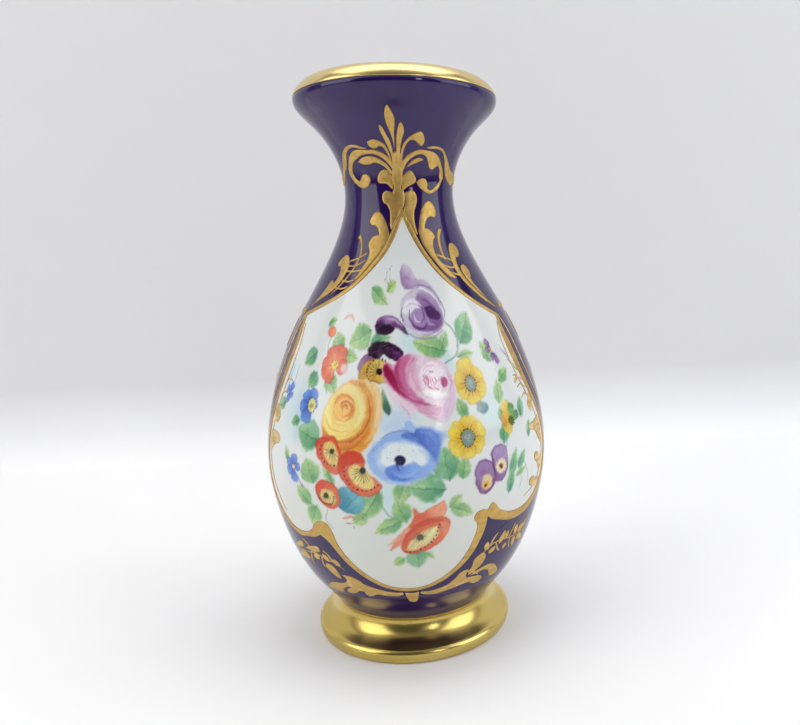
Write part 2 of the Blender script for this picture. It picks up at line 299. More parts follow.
def new_mesh(name, verts, faces, flat=0):
    """Mesh object from vertices in metres and a list of face index arrays.

    The last `flat` arrays are shaded flat."""
    me = bpy.data.meshes.new(name)
    loops = np.concatenate([np.asarray(f, np.int32).reshape(-1) for f in faces])
    sizes = np.concatenate([np.full(len(f), np.asarray(f).shape[1], np.int32)
                            for f in faces if len(f)])
    starts = np.concatenate([[0], np.cumsum(sizes)[:-1]]).astype(np.int32)
    me.vertices.add(len(verts))
    me.vertices.foreach_set("co", np.asarray(verts, np.float32).reshape(-1))
    me.loops.add(len(loops))
    me.loops.foreach_set("vertex_index", loops)
    me.polygons.add(len(sizes))
    me.polygons.foreach_set("loop_start", starts)
    me.polygons.foreach_set("loop_total", sizes)
    soft = np.ones(len(sizes), bool)
    if flat:
        soft[len(sizes) - sum(len(f) for f in faces[-flat:]):] = False
    me.polygons.foreach_set("use_smooth", soft)
    me.update(calc_edges=True)
    me.validate()
    ob = bpy.data.objects.new(name, me)
    bpy.context.scene.collection.objects.link(ob)
    return ob


def paint_verts(ob, name, rgb):
    """Colour per vertex, linear values."""
    rgba = np.ones((len(rgb), 4), np.float32)
    rgba[:, :3] = rgb
    at = ob.data.color_attributes.new(name, "FLOAT_COLOR", "POINT")
    at.data.foreach_set("color", rgba.reshape(-1))


def float_verts(ob, name, v):
    at = ob.data.attributes.new(name, "FLOAT", "POINT")
    at.data.foreach_set("value", np.asarray(v, np.float32))


def piece(ob, mat, slot, *nodes):
    ob.data.materials.append(mat)
    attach(ob, "root")
    if nodes:
        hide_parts(*nodes)
    return ob


def lathe(name, prof, steps=288, ring=True):
    """Closed solid of revolution from a closed section, (r, z) rows."""
    P = np.asarray(prof, float)
    nxt = np.roll(P, -1, 0)
    if (P[:, 0] * nxt[:, 1] - nxt[:, 0] * P[:, 1]).sum() < 0:
        P = P[::-1]
    n = len(P)
    a = np.arange(steps) * 2 * np.pi / steps
    axis = P[:, 0] < 1e-6
    V, idx = [], np.zeros((n, steps), np.int64)
    k = 0
    for i in range(n):
        if axis[i]:
            V.append([[0, 0, P[i, 1]]])
            idx[i, :] = k
            k += 1
        else:
            V.append(np.stack([P[i, 0] * np.sin(a), -P[i, 0] * np.cos(a),
                               np.full(steps, P[i, 1])], 1))
            idx[i, :] = k + np.arange(steps)
            k += steps
    V = np.concatenate([np.asarray(v, float) for v in V]) * MM
    quads, tris = [], []
    for i in range(n):
        j = (i + 1) % n
        if axis[i] and axis[j]:
            continue
        A, B = idx[i], idx[j]
        A2, B2 = np.roll(A, -1), np.roll(B, -1)
        if axis[i]:
            tris.append(np.stack([A, B2, B], 1))
        elif axis[j]:
            tris.append(np.stack([A, A2, B], 1))
        else:
            quads.append(np.stack([A, A2, B2, B], 1))
    F = []
    if quads:
        F.append(np.concatenate(quads))
    if tris:
        F.append(np.concatenate(tris))
    return new_mesh(name, V, F)


def resample(P, step):
    """Even points along a polyline, keeping its ends."""
    P = np.asarray(P, float)
    s = np.concatenate([[0], np.cumsum(np.hypot(*np.diff(P, axis=0).T))])
    m = max(2, int(round(s[-1] / step)) + 1)
    u = np.linspace(0, s[-1], m)
    return np.stack([np.interp(u, s, P[:, 0]), np.interp(u, s, P[:, 1])], 1)


# ---------------------------------------------------------------------------
# Regions of the wall cut out of a grid by a signed distance
# ---------------------------------------------------------------------------
def smooth_closed(pts, n=8):
    """Closed curve through points, sharp where the last number is 1."""
    P = np.array([(p[0], p[1]) for p in pts], float)
    c = [len(p) > 2 and p[-1] == 1 for p in pts]
    N, out = len(P), []
    t = np.linspace(0, 1, n, endpoint=False)[:, None]
    for i in range(N):
        a, b = P[i], P[(i + 1) % N]
        pm = P[i - 1] if not c[i] else a - (b - a) * 0.5
        pn = P[(i + 2) % N] if not c[(i + 1) % N] else b + (b - a) * 0.5
        out.append(0.5 * (2 * a + (b - pm) * t
                          + (2 * pm - 5 * a + 4 * b - pn) * t * t
                          + (3 * a - pm - 3 * b + pn) * t ** 3))
    return np.concatenate(out)


def sdf_poly(x, y, poly):
    """Signed distance to a closed polygon, positive inside."""
    best = np.full(x.shape, 1e9, np.float32)
    inside = np.zeros(x.shape, bool)
    n = len(poly)
    for i in range(n):
        ax, ay = poly[i]
        bx, by = poly[(i + 1) % n]
        dx, dy = bx - ax, by - ay
        L = dx * dx + dy * dy
        if L < 1e-12:
            continue
        px, py = x - ax, y - ay
        t = np.clip((px * dx + py * dy) / L, 0, 1)
        ex, ey = px - t * dx, py - t * dy
        np.minimum(best, ex * ex + ey * ey, out=best)
        hit = (ay > y) != (by > y)
        if abs(dy) > 1e-12:
            inside ^= hit & (px < dx * py / dy)
    d = np.sqrt(best)
    return np.where(inside, d, -d)


def sdf_path(x, y, path):
    """Distance to an open polyline and the fraction along it."""
    best = np.full(x.shape, 1e9, np.float32)
    frac = np.zeros(x.shape, np.float32)
    n = len(path) - 1
    for i in range(n):
        ax, ay = path[i]
        bx, by = path[i + 1]
        dx, dy = bx - ax, by - ay
        L = dx * dx + dy * dy + 1e-12
        px, py = x - ax, y - ay
        t = np.clip((px * dx + py * dy) / L, 0, 1)
        ex, ey = px - t * dx, py - t * dy
        d = ex * ex + ey * ey
        m = d < best
        best = np.where(m, d, best)
        frac = np.where(m, (i + t) / n, frac)
    return np.sqrt(best), frac


def region(F):
    """Marching squares over node values F (rows = z, columns = phi).

    Returns node list (row, col as floats), faces by size and rim edges, for
    the part of the grid where F > 0."""
    H, W = F.shape
    ins = F > 0
    node = np.full((H, W), -1, np.int64)
    # horizontal and vertical crossings
    hx = ins[:, :-1] != ins[:, 1:]
    vx = ins[:-1, :] != ins[1:, :]
    cell = np.zeros((H - 1, W - 1), np.int64)
    cell += ins[:-1, :-1] * 1 + ins[:-1, 1:] * 2 + ins[1:, 1:] * 4 + ins[1:, :-1] * 8
    used = (cell > 0)
    keep = np.zeros((H, W), bool)
    for a, b in ((0, 0), (0, 1), (1, 0), (1, 1)):
        keep[a:H - 1 + a, b:W - 1 + b] |= used
    keep &= ins
    k = 0
    rr, cc = np.nonzero(keep)
    node[rr, cc] = np.arange(len(rr))
    k = len(rr)
    P = [np.stack([rr, cc], 1).astype(float)]
    hid = np.full(hx.shape, -1, np.int64)
    r1, c1 = np.nonzero(hx)
    f0, f1 = F[r1, c1], F[r1, c1 + 1]
    P.append(np.stack([r1, c1 + np.clip(f0 / (f0 - f1), 0.02, 0.98)], 1))
    hid[r1, c1] = k + np.arange(len(r1))
    k += len(r1)
    vid = np.full(vx.shape, -1, np.int64)
    r1, c1 = np.nonzero(vx)
    f0, f1 = F[r1, c1], F[r1 + 1, c1]
    P.append(np.stack([r1 + np.clip(f0 / (f0 - f1), 0.02, 0.98), c1], 1))
    vid[r1, c1] = k + np.arange(len(r1))
    k += len(r1)
    P = np.concatenate(P)
    # corners 0..3 anticlockwise with z up: (r,c) (r,c+1) (r+1,c+1) (r+1,c)
    edges = {4: "bottom", 5: "right", 6: "top", 7: "left"}
    polys = {3: [], 4: [], 5: [], 6: []}
    rims = []
    for case in range(1, 16):
        r, c = np.nonzero(cell == case)
        if not len(r):
            continue
        C = [node[r, c], node[r, c + 1], node[r + 1, c + 1], node[r + 1, c]]
        E = [hid[r, c], vid[r, c + 1], hid[r + 1, c], vid[r, c]]
        seq = []
        for q in range(4):
            if case >> q & 1:
                seq.append(("c", q))
            a, b = case >> q & 1, case >> ((q + 1) % 4) & 1
            if a != b:
                seq.append(("e", q, a))
        ids = [C[s[1]] if s[0] == "c" else E[s[1]] for s in seq]
        polys[len(ids)].append(np.stack(ids, 1))
        m = len(seq)
        for q in range(m):
            s1, s2 = seq[q], seq[(q + 1) % m]
            if s1[0] == "e" and s2[0] == "e" and s1[2] == 1 and s2[2] == 0:
                rims.append(np.stack([ids[q], ids[(q + 1) % m]], 1))
    faces = [np.concatenate(v) for v in polys.values() if v]
    rims = np.concatenate(rims) if rims else np.zeros((0, 2), np.int64)
    return P, faces, rims


def border(faces, rims):
    """Edges of the patch that lie on the grid's own limits, as rim pairs."""
    E = np.concatenate([np.stack([f[:, i], f[:, (i + 1) % f.shape[1]]], 1)
                        for f in faces for i in range(f.shape[1])])
    big = int(E.max()) + 1
    key, rev = E[:, 0] * big + E[:, 1], E[:, 1] * big + E[:, 0]
    lone = ~np.isin(key, rev)
    if len(rims):
        lone &= ~np.isin(key, rims[:, 0] * big + rims[:, 1])
    return E[lone]


def shell(name, phis, zs, F, top, low, mirror=False, extra=None, turn=0.0):
    """Closed thin solid on the wall over the part of the grid where F > 0.

    top(row, col) gives its height above the glaze at each node."""
    P, faces, rims = region(F)
    phi = np.interp(P[:, 1], np.arange(len(phis)), phis) + turn
    z = np.interp(P[:, 0], np.arange(len(zs)), zs)
    h = top(P[:, 0], P[:, 1])
    n = len(P)
    V = np.concatenate([on_wall(phi, z, h, mirror),
                        on_wall(phi, z, np.full(n, low), mirror)])
    rims = np.concatenate([rims, border(faces, rims)])
    fs = list(faces)
    a, b = rims[:, 0], rims[:, 1]
    fs += [f[:, ::-1] + n for f in faces]
    fs.append(np.stack([b, a, a + n, b + n], 1))
    if mirror:
        fs = [f[:, ::-1] for f in fs]
    ob = new_mesh(name, V, fs, flat=len(faces) + 1)
    return ob, P, phi - turn, z


def sample(A, r, c):
    """Bilinear value of array A at fractional row and column."""
    H, W = A.shape[:2]
    r = np.clip(r, 0, H - 1.001)
    c = np.clip(c, 0, W - 1.001)
    i, j = r.astype(int), c.astype(int)
    fr, fc = r - i, c - j
    if A.ndim == 3:
        fr, fc = fr[:, None], fc[:, None]
    return (A[i, j] * (1 - fr) * (1 - fc) + A[i, j + 1] * (1 - fr) * fc
            + A[i + 1, j] * fr * (1 - fc) + A[i + 1, j + 1] * fr * fc)


def noise2(h, w, cell_r, cell_c, seed):
    """Smooth value noise, 0..1, with cells of the given pixel size."""
    g = np.random.default_rng(seed)
    nr, nc = int(h / cell_r) + 4, int(w / cell_c) + 4
    A = g.random((nr, nc))
    r = np.arange(h) / cell_r + 1
    c = np.arange(w) / cell_c + 1
    i, j = r.astype(int), c.astype(int)
    fr, fc = r - i, c - j
    fr = (fr * fr * (3 - 2 * fr))[:, None]
    fc = (fc * fc * (3 - 2 * fc))[None, :]
    A00, A01 = A[i][:, j], A[i][:, j + 1]
    A10, A11 = A[i + 1][:, j], A[i + 1][:, j + 1]
    return A00 * (1 - fr) * (1 - fc) + A01 * (1 - fr) * fc + A10 * fr * (1 - fc) + A11 * fr * fc


# ---------------------------------------------------------------------------
# Raised gold: outlines to distance fields to shells
# ---------------------------------------------------------------------------
def field(phis, zs, outlines, open_lines=(), pad_z=1.2, n=6):
    """Distance inside the union of outlines, in millimetres on the wall.

    open_lines are (points, half width) brush lines added to the union."""
    F = np.full((len(zs), len(phis)), -9.0, np.float32)
    for o in outlines:
        q = smooth_closed(o, n)
        pc = 0.5 * (q[:, 0].min() + q[:, 0].max())
        pad_p = pad_z / (0.0174533 * rad(q[:, 1].mean()))
        r0 = np.searchsorted(zs, q[:, 1].min() - pad_z)
        r1 = np.searchsorted(zs, q[:, 1].max() + pad_z)
        c0 = np.searchsorted(phis, q[:, 0].min() - pad_p)
        c1 = np.searchsorted(phis, q[:, 0].max() + pad_p)
        if r1 <= r0 or c1 <= c0:
            continue
        Z, Pm = np.meshgrid(zs[r0:r1], phis[c0:c1], indexing="ij")
        k = 0.0174533 * rad(Z)
        x = ((Pm - pc) * k).astype(np.float32)
        y = arc(Z).astype(np.float32)
        poly = np.stack([(q[:, 0] - pc) * 0.0174533 * rad(q[:, 1]), arc(q[:, 1])], 1)
        d = sdf_poly(x, y, poly)
        F[r0:r1, c0:c1] = np.maximum(F[r0:r1, c0:c1], d)
    for pts, hw in open_lines:
        q = np.asarray(pts, float)
        t = np.linspace(0, len(q) - 1, 12 * (len(q) - 1) + 1)
        # smooth through the given points
        i = np.clip(t.astype(int), 0, len(q) - 2)
        f = (t - i)[:, None]
        pm, pn = q[np.maximum(i - 1, 0)], q[np.minimum(i + 2, len(q) - 1)]
        a, b = q[i], q[i + 1]
        q = 0.5 * (2 * a + (b - pm) * f + (2 * pm - 5 * a + 4 * b - pn) * f * f
                   + (3 * a - pm - 3 * b + pn) * f ** 3)
        pc = q[:, 0].mean()
        pad_p = 1.2 / (0.0174533 * rad(q[:, 1].mean()))
        r0 = np.searchsorted(zs, q[:, 1].min() - 1.2)
        r1 = np.searchsorted(zs, q[:, 1].max() + 1.2)
        c0 = np.searchsorted(phis, q[:, 0].min() - pad_p)
        c1 = np.searchsorted(phis, q[:, 0].max() + pad_p)
        Z, Pm = np.meshgrid(zs[r0:r1], phis[c0:c1], indexing="ij")
        x = (Pm - pc) * 0.0174533 * rad(Z)
        y = arc(Z)
        path = np.stack([(q[:, 0] - pc) * 0.0174533 * rad(q[:, 1]), arc(q[:, 1])], 1)
        d, fr = sdf_path(x, y, path)
        w = hw * (0.45 + 0.55 * np.sin(np.pi * np.clip(fr, 0.02, 0.98)) ** 0.5)
        F[r0:r1, c0:c1] = np.maximum(F[r0:r1, c0:c1], w - d)
    return F


def gold_shell(name, phis, zs, F, mats, slot, nodes, mirror=False, turn=0.0,
               height=0.22, seed=1, pale=0.0):
    """Raised gold with a rounded edge, brush streaks and a thin brown rim."""
    S = noise2(len(zs), len(phis), 5.0, 7.0, seed)
    B = noise2(len(zs), len(phis), 2.2, 16.0, seed + 1)

    def top(r, c):
        d = np.clip(sample(F, r, c), 0, None)
        rise = 1 - np.exp(-d / 0.22)
        return 0.03 + height * rise * (0.90 + 0.12 * sample(S, r, c)) \
            + 0.006 * sample(B, r, c) * rise

    ob, P, phi, z = shell(name, phis, zs, F, top, -0.06, mirror, turn=turn)
    d = np.clip(sample(F, P[:, 0], P[:, 1]), 0, None)
    both = np.concatenate([d, d * 0])
    float_verts(ob, "inward", both)
    tone = sample(S, P[:, 0], P[:, 1]) * 0.6 + sample(B, P[:, 0], P[:, 1]) * 0.4
    tone = 0.2 + 0.6 * tone + pale
    float_verts(ob, "tone", np.concatenate([tone, tone]))
    return piece(ob, mats, slot, *nodes)


# ---------------------------------------------------------------------------
# Enamel painting: soft brush work on a flat canvas that unrolls the panel.
# Canvas x is 0.9 mm per degree, canvas y is the height. Colours are sRGB.
# ---------------------------------------------------------------------------
PX = 8.0
X0, X1, Y0, Y1 = -66.0, 66.0, 36.0, 140.0
CW, CH = int((X1 - X0) * PX), int((Y1 - Y0) * PX)
WHITE = np.array([0.885, 0.900, 0.893])
CANVAS = np.tile(WHITE, (CH, CW, 1)).astype(np.float32)
# the glaze pools a little warmer and greyer towards the bottom of the panel
POOL = np.clip((78.0 - (Y0 + (np.arange(CH) + 0.5) / PX)) / 38.0, 0, 1)[:, None, None]
CANVAS = (CANVAS * (1 - POOL * np.array([0.035, 0.045, 0.075]))).astype(np.float32)
COVER = np.zeros((CH, CW), np.float32)
BODY = np.zeros((CH, CW), np.float32)
GRAIN = noise2(CH, CW, 5, 5, 5).astype(np.float32)
WATER = noise2(CH, CW, 16, 16, 6).astype(np.float32)
FINE = noise2(CH, CW, 2.2, 2.2, 7).astype(np.float32)
WOB_X = (noise2(CH, CW, 9, 9, 8) - 0.5).astype(np.float32)
WOB_Y = (noise2(CH, CW, 9, 9, 9) - 0.5).astype(np.float32)
STREAKS = noise2(512, 512, 40, 2.6, 10).astype(np.float32)


def xy(phi, z):
    return np.array([0.9 * phi, z], float)


def window(lo, hi, pad):
    c0 = int(max(0, (lo[0] - pad - X0) * PX))
    c1 = int(min(CW, (hi[0] + pad - X0) * PX + 1))
    r0 = int(max(0, (lo[1] - pad - Y0) * PX))
    r1 = int(min(CH, (hi[1] + pad - Y0) * PX + 1))
    if c1 <= c0 or r1 <= r0:
        return None
    y, x = np.meshgrid((np.arange(r0, r1) + 0.5) / PX + Y0,
                       (np.arange(c0, c1) + 0.5) / PX + X0, indexing="ij")
    s = (slice(r0, r1), slice(c0, c1))
    x = x + WOB_X[s] * 0.45
    y = y + WOB_Y[s] * 0.45
    return s, x, y


def lay(s, rgb, a, thick=1.0):
    """Lay paint over the canvas window s with coverage a."""
    a = np.clip(a, 0, 1)
    CANVAS[s] = CANVAS[s] * (1 - a[..., None]) + rgb * a[..., None]
    COVER[s] = np.maximum(COVER[s], a)
    BODY[s] = np.clip(BODY[s] * (1 - 0.5 * a) + a * thick * 0.8, 0, 2.0)


def bristle(x, y, ang, seed):
    """Streaks along a direction, 0..1."""
    ca, sa = math.cos(ang), math.sin(ang)
    u = (x * ca + y * sa) * 5 + seed * 37.7
    v = (-x * sa + y * ca) * 12 + seed * 91.3
    return STREAKS[(u.astype(int)) % 512, (v.astype(int)) % 512]


def curve(pts, n=10):
    q = np.asarray(pts, float)
    if len(q) < 3:
        t = np.linspace(0, 1, n)[:, None]
        return q[0] * (1 - t) + q[-1] * t
    t = np.linspace(0, len(q) - 1, n * (len(q) - 1) + 1)
    i = np.clip(t.astype(int), 0, len(q) - 2)
    f = (t - i)[:, None]
    pm = np.where(i[:, None] > 0, q[np.maximum(i - 1, 0)], 2 * q[i] - q[i + 1])
    pn = np.where(i[:, None] < len(q) - 2, q[np.minimum(i + 2, len(q) - 1)],
                  2 * q[i + 1] - q[i])
    a, b = q[i], q[i + 1]
    return 0.5 * (2 * a + (b - pm) * f + (2 * pm - 5 * a + 4 * b - pn) * f * f
                  + (3 * a - pm - 3 * b + pn) * f ** 3)


def fill(pts, col, a=0.95, soft=0.35, to=None, rim=None, rim_w=0.5, rim_a=0.6,
         ang=None, rough=0.25, core=None, core_w=1.2, thick=1.0):
    """Soft-edged shape through (phi, z) points.

    to = (from point, to point, colour) blends towards a second colour.
    rim darkens the edge, core tints what is deeper than core_w."""
    q = smooth_closed([(0.9 * p[0], p[1]) + tuple(p[2:]) for p in pts], 6)
    w = window(q.min(0), q.max(0), soft * 2 + 0.4)
    if w is None:
        return
    s, x, y = w
    d = sdf_poly(x, y, q)
    cov = np.clip((d + soft) / (2 * soft), 0, 1)
    cov = cov * cov * (3 - 2 * cov)
    rgb = np.broadcast_to(np.asarray(col, float), x.shape + (3,)).copy()
    if to is not None:
        p0, p1, c1 = xy(*to[0]), xy(*to[1]), np.asarray(to[2], float)
        dv = p1 - p0
        t = ((x - p0[0]) * dv[0] + (y - p0[1]) * dv[1]) / (dv @ dv)
        t = np.clip(t + (WATER[s] - 0.5) * 0.35, 0, 1)
        t = (t * t * (3 - 2 * t))[..., None]
        rgb = rgb * (1 - t) + c1 * t
    if core is not None:
        t = np.clip((d - core_w) / max(core_w, 0.4), 0, 1)[..., None]
        rgb = rgb * (1 - t) + np.asarray(core, float) * t
    if rim is not None:
        t = np.clip(1 - d / rim_w, 0, 1)
        t = (t * rim_a * (0.55 + 0.9 * (WATER[s] - 0.15)))[..., None]
        t = np.clip(t, 0, 1)
        rgb = rgb * (1 - t) + np.asarray(rim, float) * t
    k = (1 - rough) + rough * (0.55 * GRAIN[s] + 0.75 * WATER[s])
    if ang is not None:
        b = bristle(x, y, ang, len(pts) + q[0, 0])
        k = k * (0.78 + 0.34 * b)
        rgb = rgb * (0.93 + 0.13 * b[..., None])
    rgb = np.clip(rgb * (0.97 + 0.06 * FINE[s][..., None]), 0, 1)
    lay(s, rgb, np.clip(a * cov * k * 1.12, 0, 1), thick)


def stroke(pts, w0, w1, w2, col, a=0.9, soft=0.18, streak=0.35, to=None, thick=1.0):
    """Brush stroke with half widths w0, w1, w2 at start, middle and end."""
    q = curve([xy(*p) for p in pts])
    wmax = max(w0, w1, w2)
    w = window(q.min(0), q.max(0), wmax + soft * 2 + 0.3)
    if w is None:
        return
    s, x, y = w
    d, fr = sdf_path(x, y, q)
    hw = np.where(fr < 0.5, w0 + (w1 - w0) * np.sin(np.pi * fr),
                  w2 + (w1 - w2) * np.sin(np.pi * fr))
    cov = np.clip((hw - d + soft) / (2 * soft), 0, 1)
    cov = cov * cov * (3 - 2 * cov)
    c = np.broadcast_to(np.asarray(col, float), x.shape + (3,)).copy()
    if to is not None:
        t = (fr * fr * (3 - 2 * fr))[..., None]
        c = c * (1 - t) + np.asarray(to, float) * t
    # streaks run with the stroke
    v = (d / (hw + 0.05) * 5 + fr * 2).astype(int)
    k = 1 - streak * (0.5 * STREAKS[(fr * 60).astype(int) % 512, (v * 17 + 11) % 512]
                      + 0.5 * WATER[s])
    c = np.clip(c * (0.96 + 0.08 * FINE[s][..., None]), 0, 1)
    lay(s, c, a * cov * k, thick)


def dots(ps, r, col, a=0.95):
    for i, p in enumerate(ps):
        q = xy(*p)
        w = window(q, q, r + 0.6)
        if w is None:
            continue
        s, x, y = w
        rr = r * (0.85 + 0.3 * ((i * 37) % 10) / 10)
        d = np.hypot(x - q[0], (y - q[1]) * (0.85 + 0.03 * ((i * 13) % 10)))
        cov = np.clip((rr - d + 0.11) / 0.22, 0, 1)
        lay(s, np.asarray(col, float), a * cov, 1.2)


def wash(phi, z, rx, ry, col, a=0.4, ang=0.0):
    q = xy(phi, z)
    m = max(rx, ry)
    w = window(q, q, m * 1.3)
    if w is None:
        return
    s, x, y = w
    ca, sa = math.cos(ang), math.sin(ang)
    u = ((x - q[0]) * ca + (y - q[1]) * sa) / rx
    v = (-(x - q[0]) * sa + (y - q[1]) * ca) / ry
    d = np.hypot(u, v) + (WATER[s] - 0.5) * 0.55
    cov = np.clip(1.15 - d, 0, 1)
    lay(s, np.asarray(col, float), a * cov * cov * (3 - 2 * cov), 0.3)


def ring_pts(phi, z, r, n, a0=0.0, sq=1.0, a1=360.0):
    """Points (phi, z) round a centre, r in canvas millimetres."""
    t = np.radians(np.linspace(a0, a0 + a1, n, endpoint=abs(a1) < 359))
    return [(phi + r * math.cos(v) / 0.9, z + r * sq * math.sin(v)) for v in t]


G_LIGHT, G_MID, G_DARK, G_TEAL = (0.73, 0.84, 0.54), (0.50, 0.71, 0.45), (0.22, 0.50, 0.36), (0.36, 0.62, 0.56)


def leaf(phi, z, ln, wd, deg, light=G_LIGHT, mid=G_MID, dark=G_DARK, teeth=4,
         dark_side=1, a=0.92, vein=True):
    """Two-tone leaf, base at one end and tip at the other, with veins."""
    ang = math.radians(deg)
    ca, sa = math.cos(ang), math.sin(ang)

    def at(u, v):
        x, y = u * ln * ca - v * wd * sa, u * ln * sa + v * wd * ca
        return (phi + x / 0.9, z + y)

    up, dn = [], []
    n = teeth * 2 + 1
    for i in range(1, n):
        t = i / n
        w = math.sin(math.pi * t ** 0.82) ** 0.85 * 0.5
        w *= 1.12 + (0.05 if i % 2 else -0.05)
        up.append(at(-0.5 + t, w))
        dn.append(at(-0.5 + t, -w))
    pts = [at(-0.5, 0) + (1,)] + up + [at(0.5, 0) + (1,)] + dn[::-1]
    fill(pts, light, a=a, soft=0.5, ang=ang + 0.5, rough=0.3,
         to=(at(0.4, 0.3 * dark_side), at(-0.35, -0.3 * dark_side), mid),
         rim=dark, rim_w=0.45, rim_a=0.24, thick=0.9)
    # darker half beside the midrib
    side = up if dark_side > 0 else dn
    half = [at(-0.5, 0) + (1,)] + [tuple(0.86 * np.array(p) + 0.14 * np.array(at(0.0, 0)))
                                   for p in side[: n - 2]] + [at(0.42, 0) + (1,)]
    fill(half, dark, a=0.55 * a, soft=0.5, ang=ang + 0.9 * dark_side, rough=0.6,
         to=(at(-0.45, 0), at(0.45, 0.1 * dark_side), mid), thick=0.6)
    if vein:
        stroke([at(-0.52, 0), at(-0.1, 0.03), at(0.46, 0)], 0.10, 0.14, 0.05,
               tuple(0.72 * np.array(dark)), a=0.5, soft=0.15, streak=0.4)
        for t in (-0.25, -0.02, 0.2):
            for sgn in (-1, 1):
                stroke([at(t, 0.0), at(t + 0.13, 0.30 * sgn)], 0.08, 0.09, 0.03,
                       tuple(0.8 * np.array(dark)), a=0.26, soft=0.14, streak=0.4)


def petal(phi, z, ln, wd, deg, col, tip=None, rim=None, a=0.93, soft=0.3, blunt=0.35, thick=1.0):
    """Petal rooted at (phi, z), pointing at deg, widest towards its tip."""
    ang = math.radians(deg)
    ca, sa = math.cos(ang), math.sin(ang)

    def at(u, v):
        x, y = u * ln * ca - v * wd * sa, u * ln * sa + v * wd * ca
        return (phi + x / 0.9, z + y)

    pts = [at(0.0, 0) + (1,), at(0.22, 0.22), at(0.55, 0.46), at(0.85, 0.44), at(1.0, 0.2),
           at(1.0 - 0.05 * blunt, 0.0), at(1.0, -0.22), at(0.84, -0.45), at(0.52, -0.46), at(0.22, -0.22)]
    fill(pts, col, a=a, soft=soft, ang=ang, rough=0.25,
         to=None if tip is None else (at(0.15, 0), at(0.95, 0), tip),
         rim=rim, rim_w=0.4, rim_a=0.5, thick=thick)


# ---------------------------------------------------------------------------
# Materials
# ---------------------------------------------------------------------------
def material(name, base, rough, metal=0.0, coat=0.0, coat_rough=0.03, ior=1.5, spec=0.5):
    m = bpy.data.materials.new(name)
    m.use_nodes = True
    nt = m.node_tree
    b = nt.nodes["Principled BSDF"]
    b.inputs["Base Color"].default_value = (*base, 1)
    b.inputs["Roughness"].default_value = rough
    b.inputs["Metallic"].default_value = metal
    b.inputs["IOR"].default_value = ior
    b.inputs["Specular IOR Level"].default_value = spec
    b.inputs["Coat Weight"].default_value = coat
    b.inputs["Coat Roughness"].default_value = coat_rough
    return m, nt, b


def node(nt, kind, **kw):
    n = nt.nodes.new(kind)
    for k, v in kw.items():
        if k in n.inputs:
            n.inputs[k].default_value = v
        else:
            setattr(n, k, v)
    return n


def noise_tex(nt, scale, detail=3.0, rough=0.5, stretch=None):
    """Noise on the object's own coordinates, in metres times scale."""
    co = node(nt, "ShaderNodeTexCoord")
    mp = node(nt, "ShaderNodeMapping")
    if stretch:
        mp.inputs["Scale"].default_value = stretch
    nt.links.new(co.outputs["Object"], mp.inputs["Vector"])
    t = node(nt, "ShaderNodeTexNoise", Scale=scale, Detail=detail, Roughness=rough)
    nt.links.new(mp.outputs["Vector"], t.inputs["Vector"])
    return t.outputs["Fac"]


def ramp(nt, fac, stops):
    r = node(nt, "ShaderNodeValToRGB")
    e = r.color_ramp.elements
    while len(e) < len(stops):
        e.new(0.5)
    for i, (p, c) in enumerate(stops):
        e[i].position = p
        e[i].color = (*c, 1) if len(c) == 3 else c
    nt.links.new(fac, r.inputs["Fac"])
    return r.outputs["Color"]


def to_range(nt, fac, a, b, c, d):
    r = node(nt, "ShaderNodeMapRange")
    for i, v in zip((1, 2, 3, 4), (a, b, c, d)):
        r.inputs[i].default_value = v
    nt.links.new(fac, r.inputs[0])
    return r.outputs[0]


def bump(nt, b, fac, strength, dist, coat=False):
    n = node(nt, "ShaderNodeBump", Strength=strength, Distance=dist)
    nt.links.new(fac, n.inputs["Height"])
    nt.links.new(n.outputs["Normal"], b.inputs["Normal"])
    if coat:
        nt.links.new(n.outputs["Normal"], b.inputs["Coat Normal"])


# glazed white porcelain, faintly blue, with a few iron specks
PORCELAIN, nt, b = material("glazed_porcelain", lin((0.93, 0.935, 0.93)), 0.12)
f = noise_tex(nt, 60.0, 4.0)
nt.links.new(ramp(nt, f, [(0.35, lin((0.925, 0.935, 0.935))), (0.7, lin((0.94, 0.94, 0.925)))]),
             b.inputs["Base Color"])
nt.links.new(to_range(nt, f, 0.3, 0.7, 0.09, 0.16), b.inputs["Roughness"])
bump(nt, b, noise_tex(nt, 180.0, 2.0), 0.05, 0.0004)

# bare fired foot
BISCUIT, nt, b = material("bare_porcelain", lin((0.80, 0.76, 0.70)), 0.75)
f = noise_tex(nt, 900.0, 5.0, 0.6)
nt.links.new(ramp(nt, f, [(0.3, lin((0.70, 0.66, 0.60))), (0.7, lin((0.84, 0.81, 0.76)))]),
             b.inputs["Base Color"])
bump(nt, b, f, 0.4, 0.0002)

# luting slip
SLIP, nt, b = material("fired_slip", lin((0.78, 0.76, 0.72)), 0.8)
f = noise_tex(nt, 500.0, 4.0, 0.6)
nt.links.new(ramp(nt, f, [(0.3, lin((0.72, 0.70, 0.66))), (0.7, lin((0.84, 0.82, 0.78)))]),
             b.inputs["Base Color"])
bump(nt, b, f, 0.5, 0.0002)

# cobalt ground under a clear glaze, thinner and lighter where it pools less
COBALT, nt, b = material("cobalt_glaze", lin((0.14, 0.06, 0.30)), 0.08, ior=1.5)
f = noise_tex(nt, 38.0, 5.0, 0.55)
c1 = ramp(nt, f, [(0.30, lin((0.118, 0.036, 0.266))), (0.52, lin((0.146, 0.054, 0.306))),
                  (0.72, lin((0.180, 0.082, 0.352)))])
nt.links.new(c1, b.inputs["Base Color"])
g = noise_tex(nt, 60.0, 3.0, 0.6)
nt.links.new(to_range(nt, g, 0.3, 0.75, 0.06, 0.11), b.inputs["Roughness"])
bump(nt, b, noise_tex(nt, 120.0, 2.0), 0.03, 0.0004)

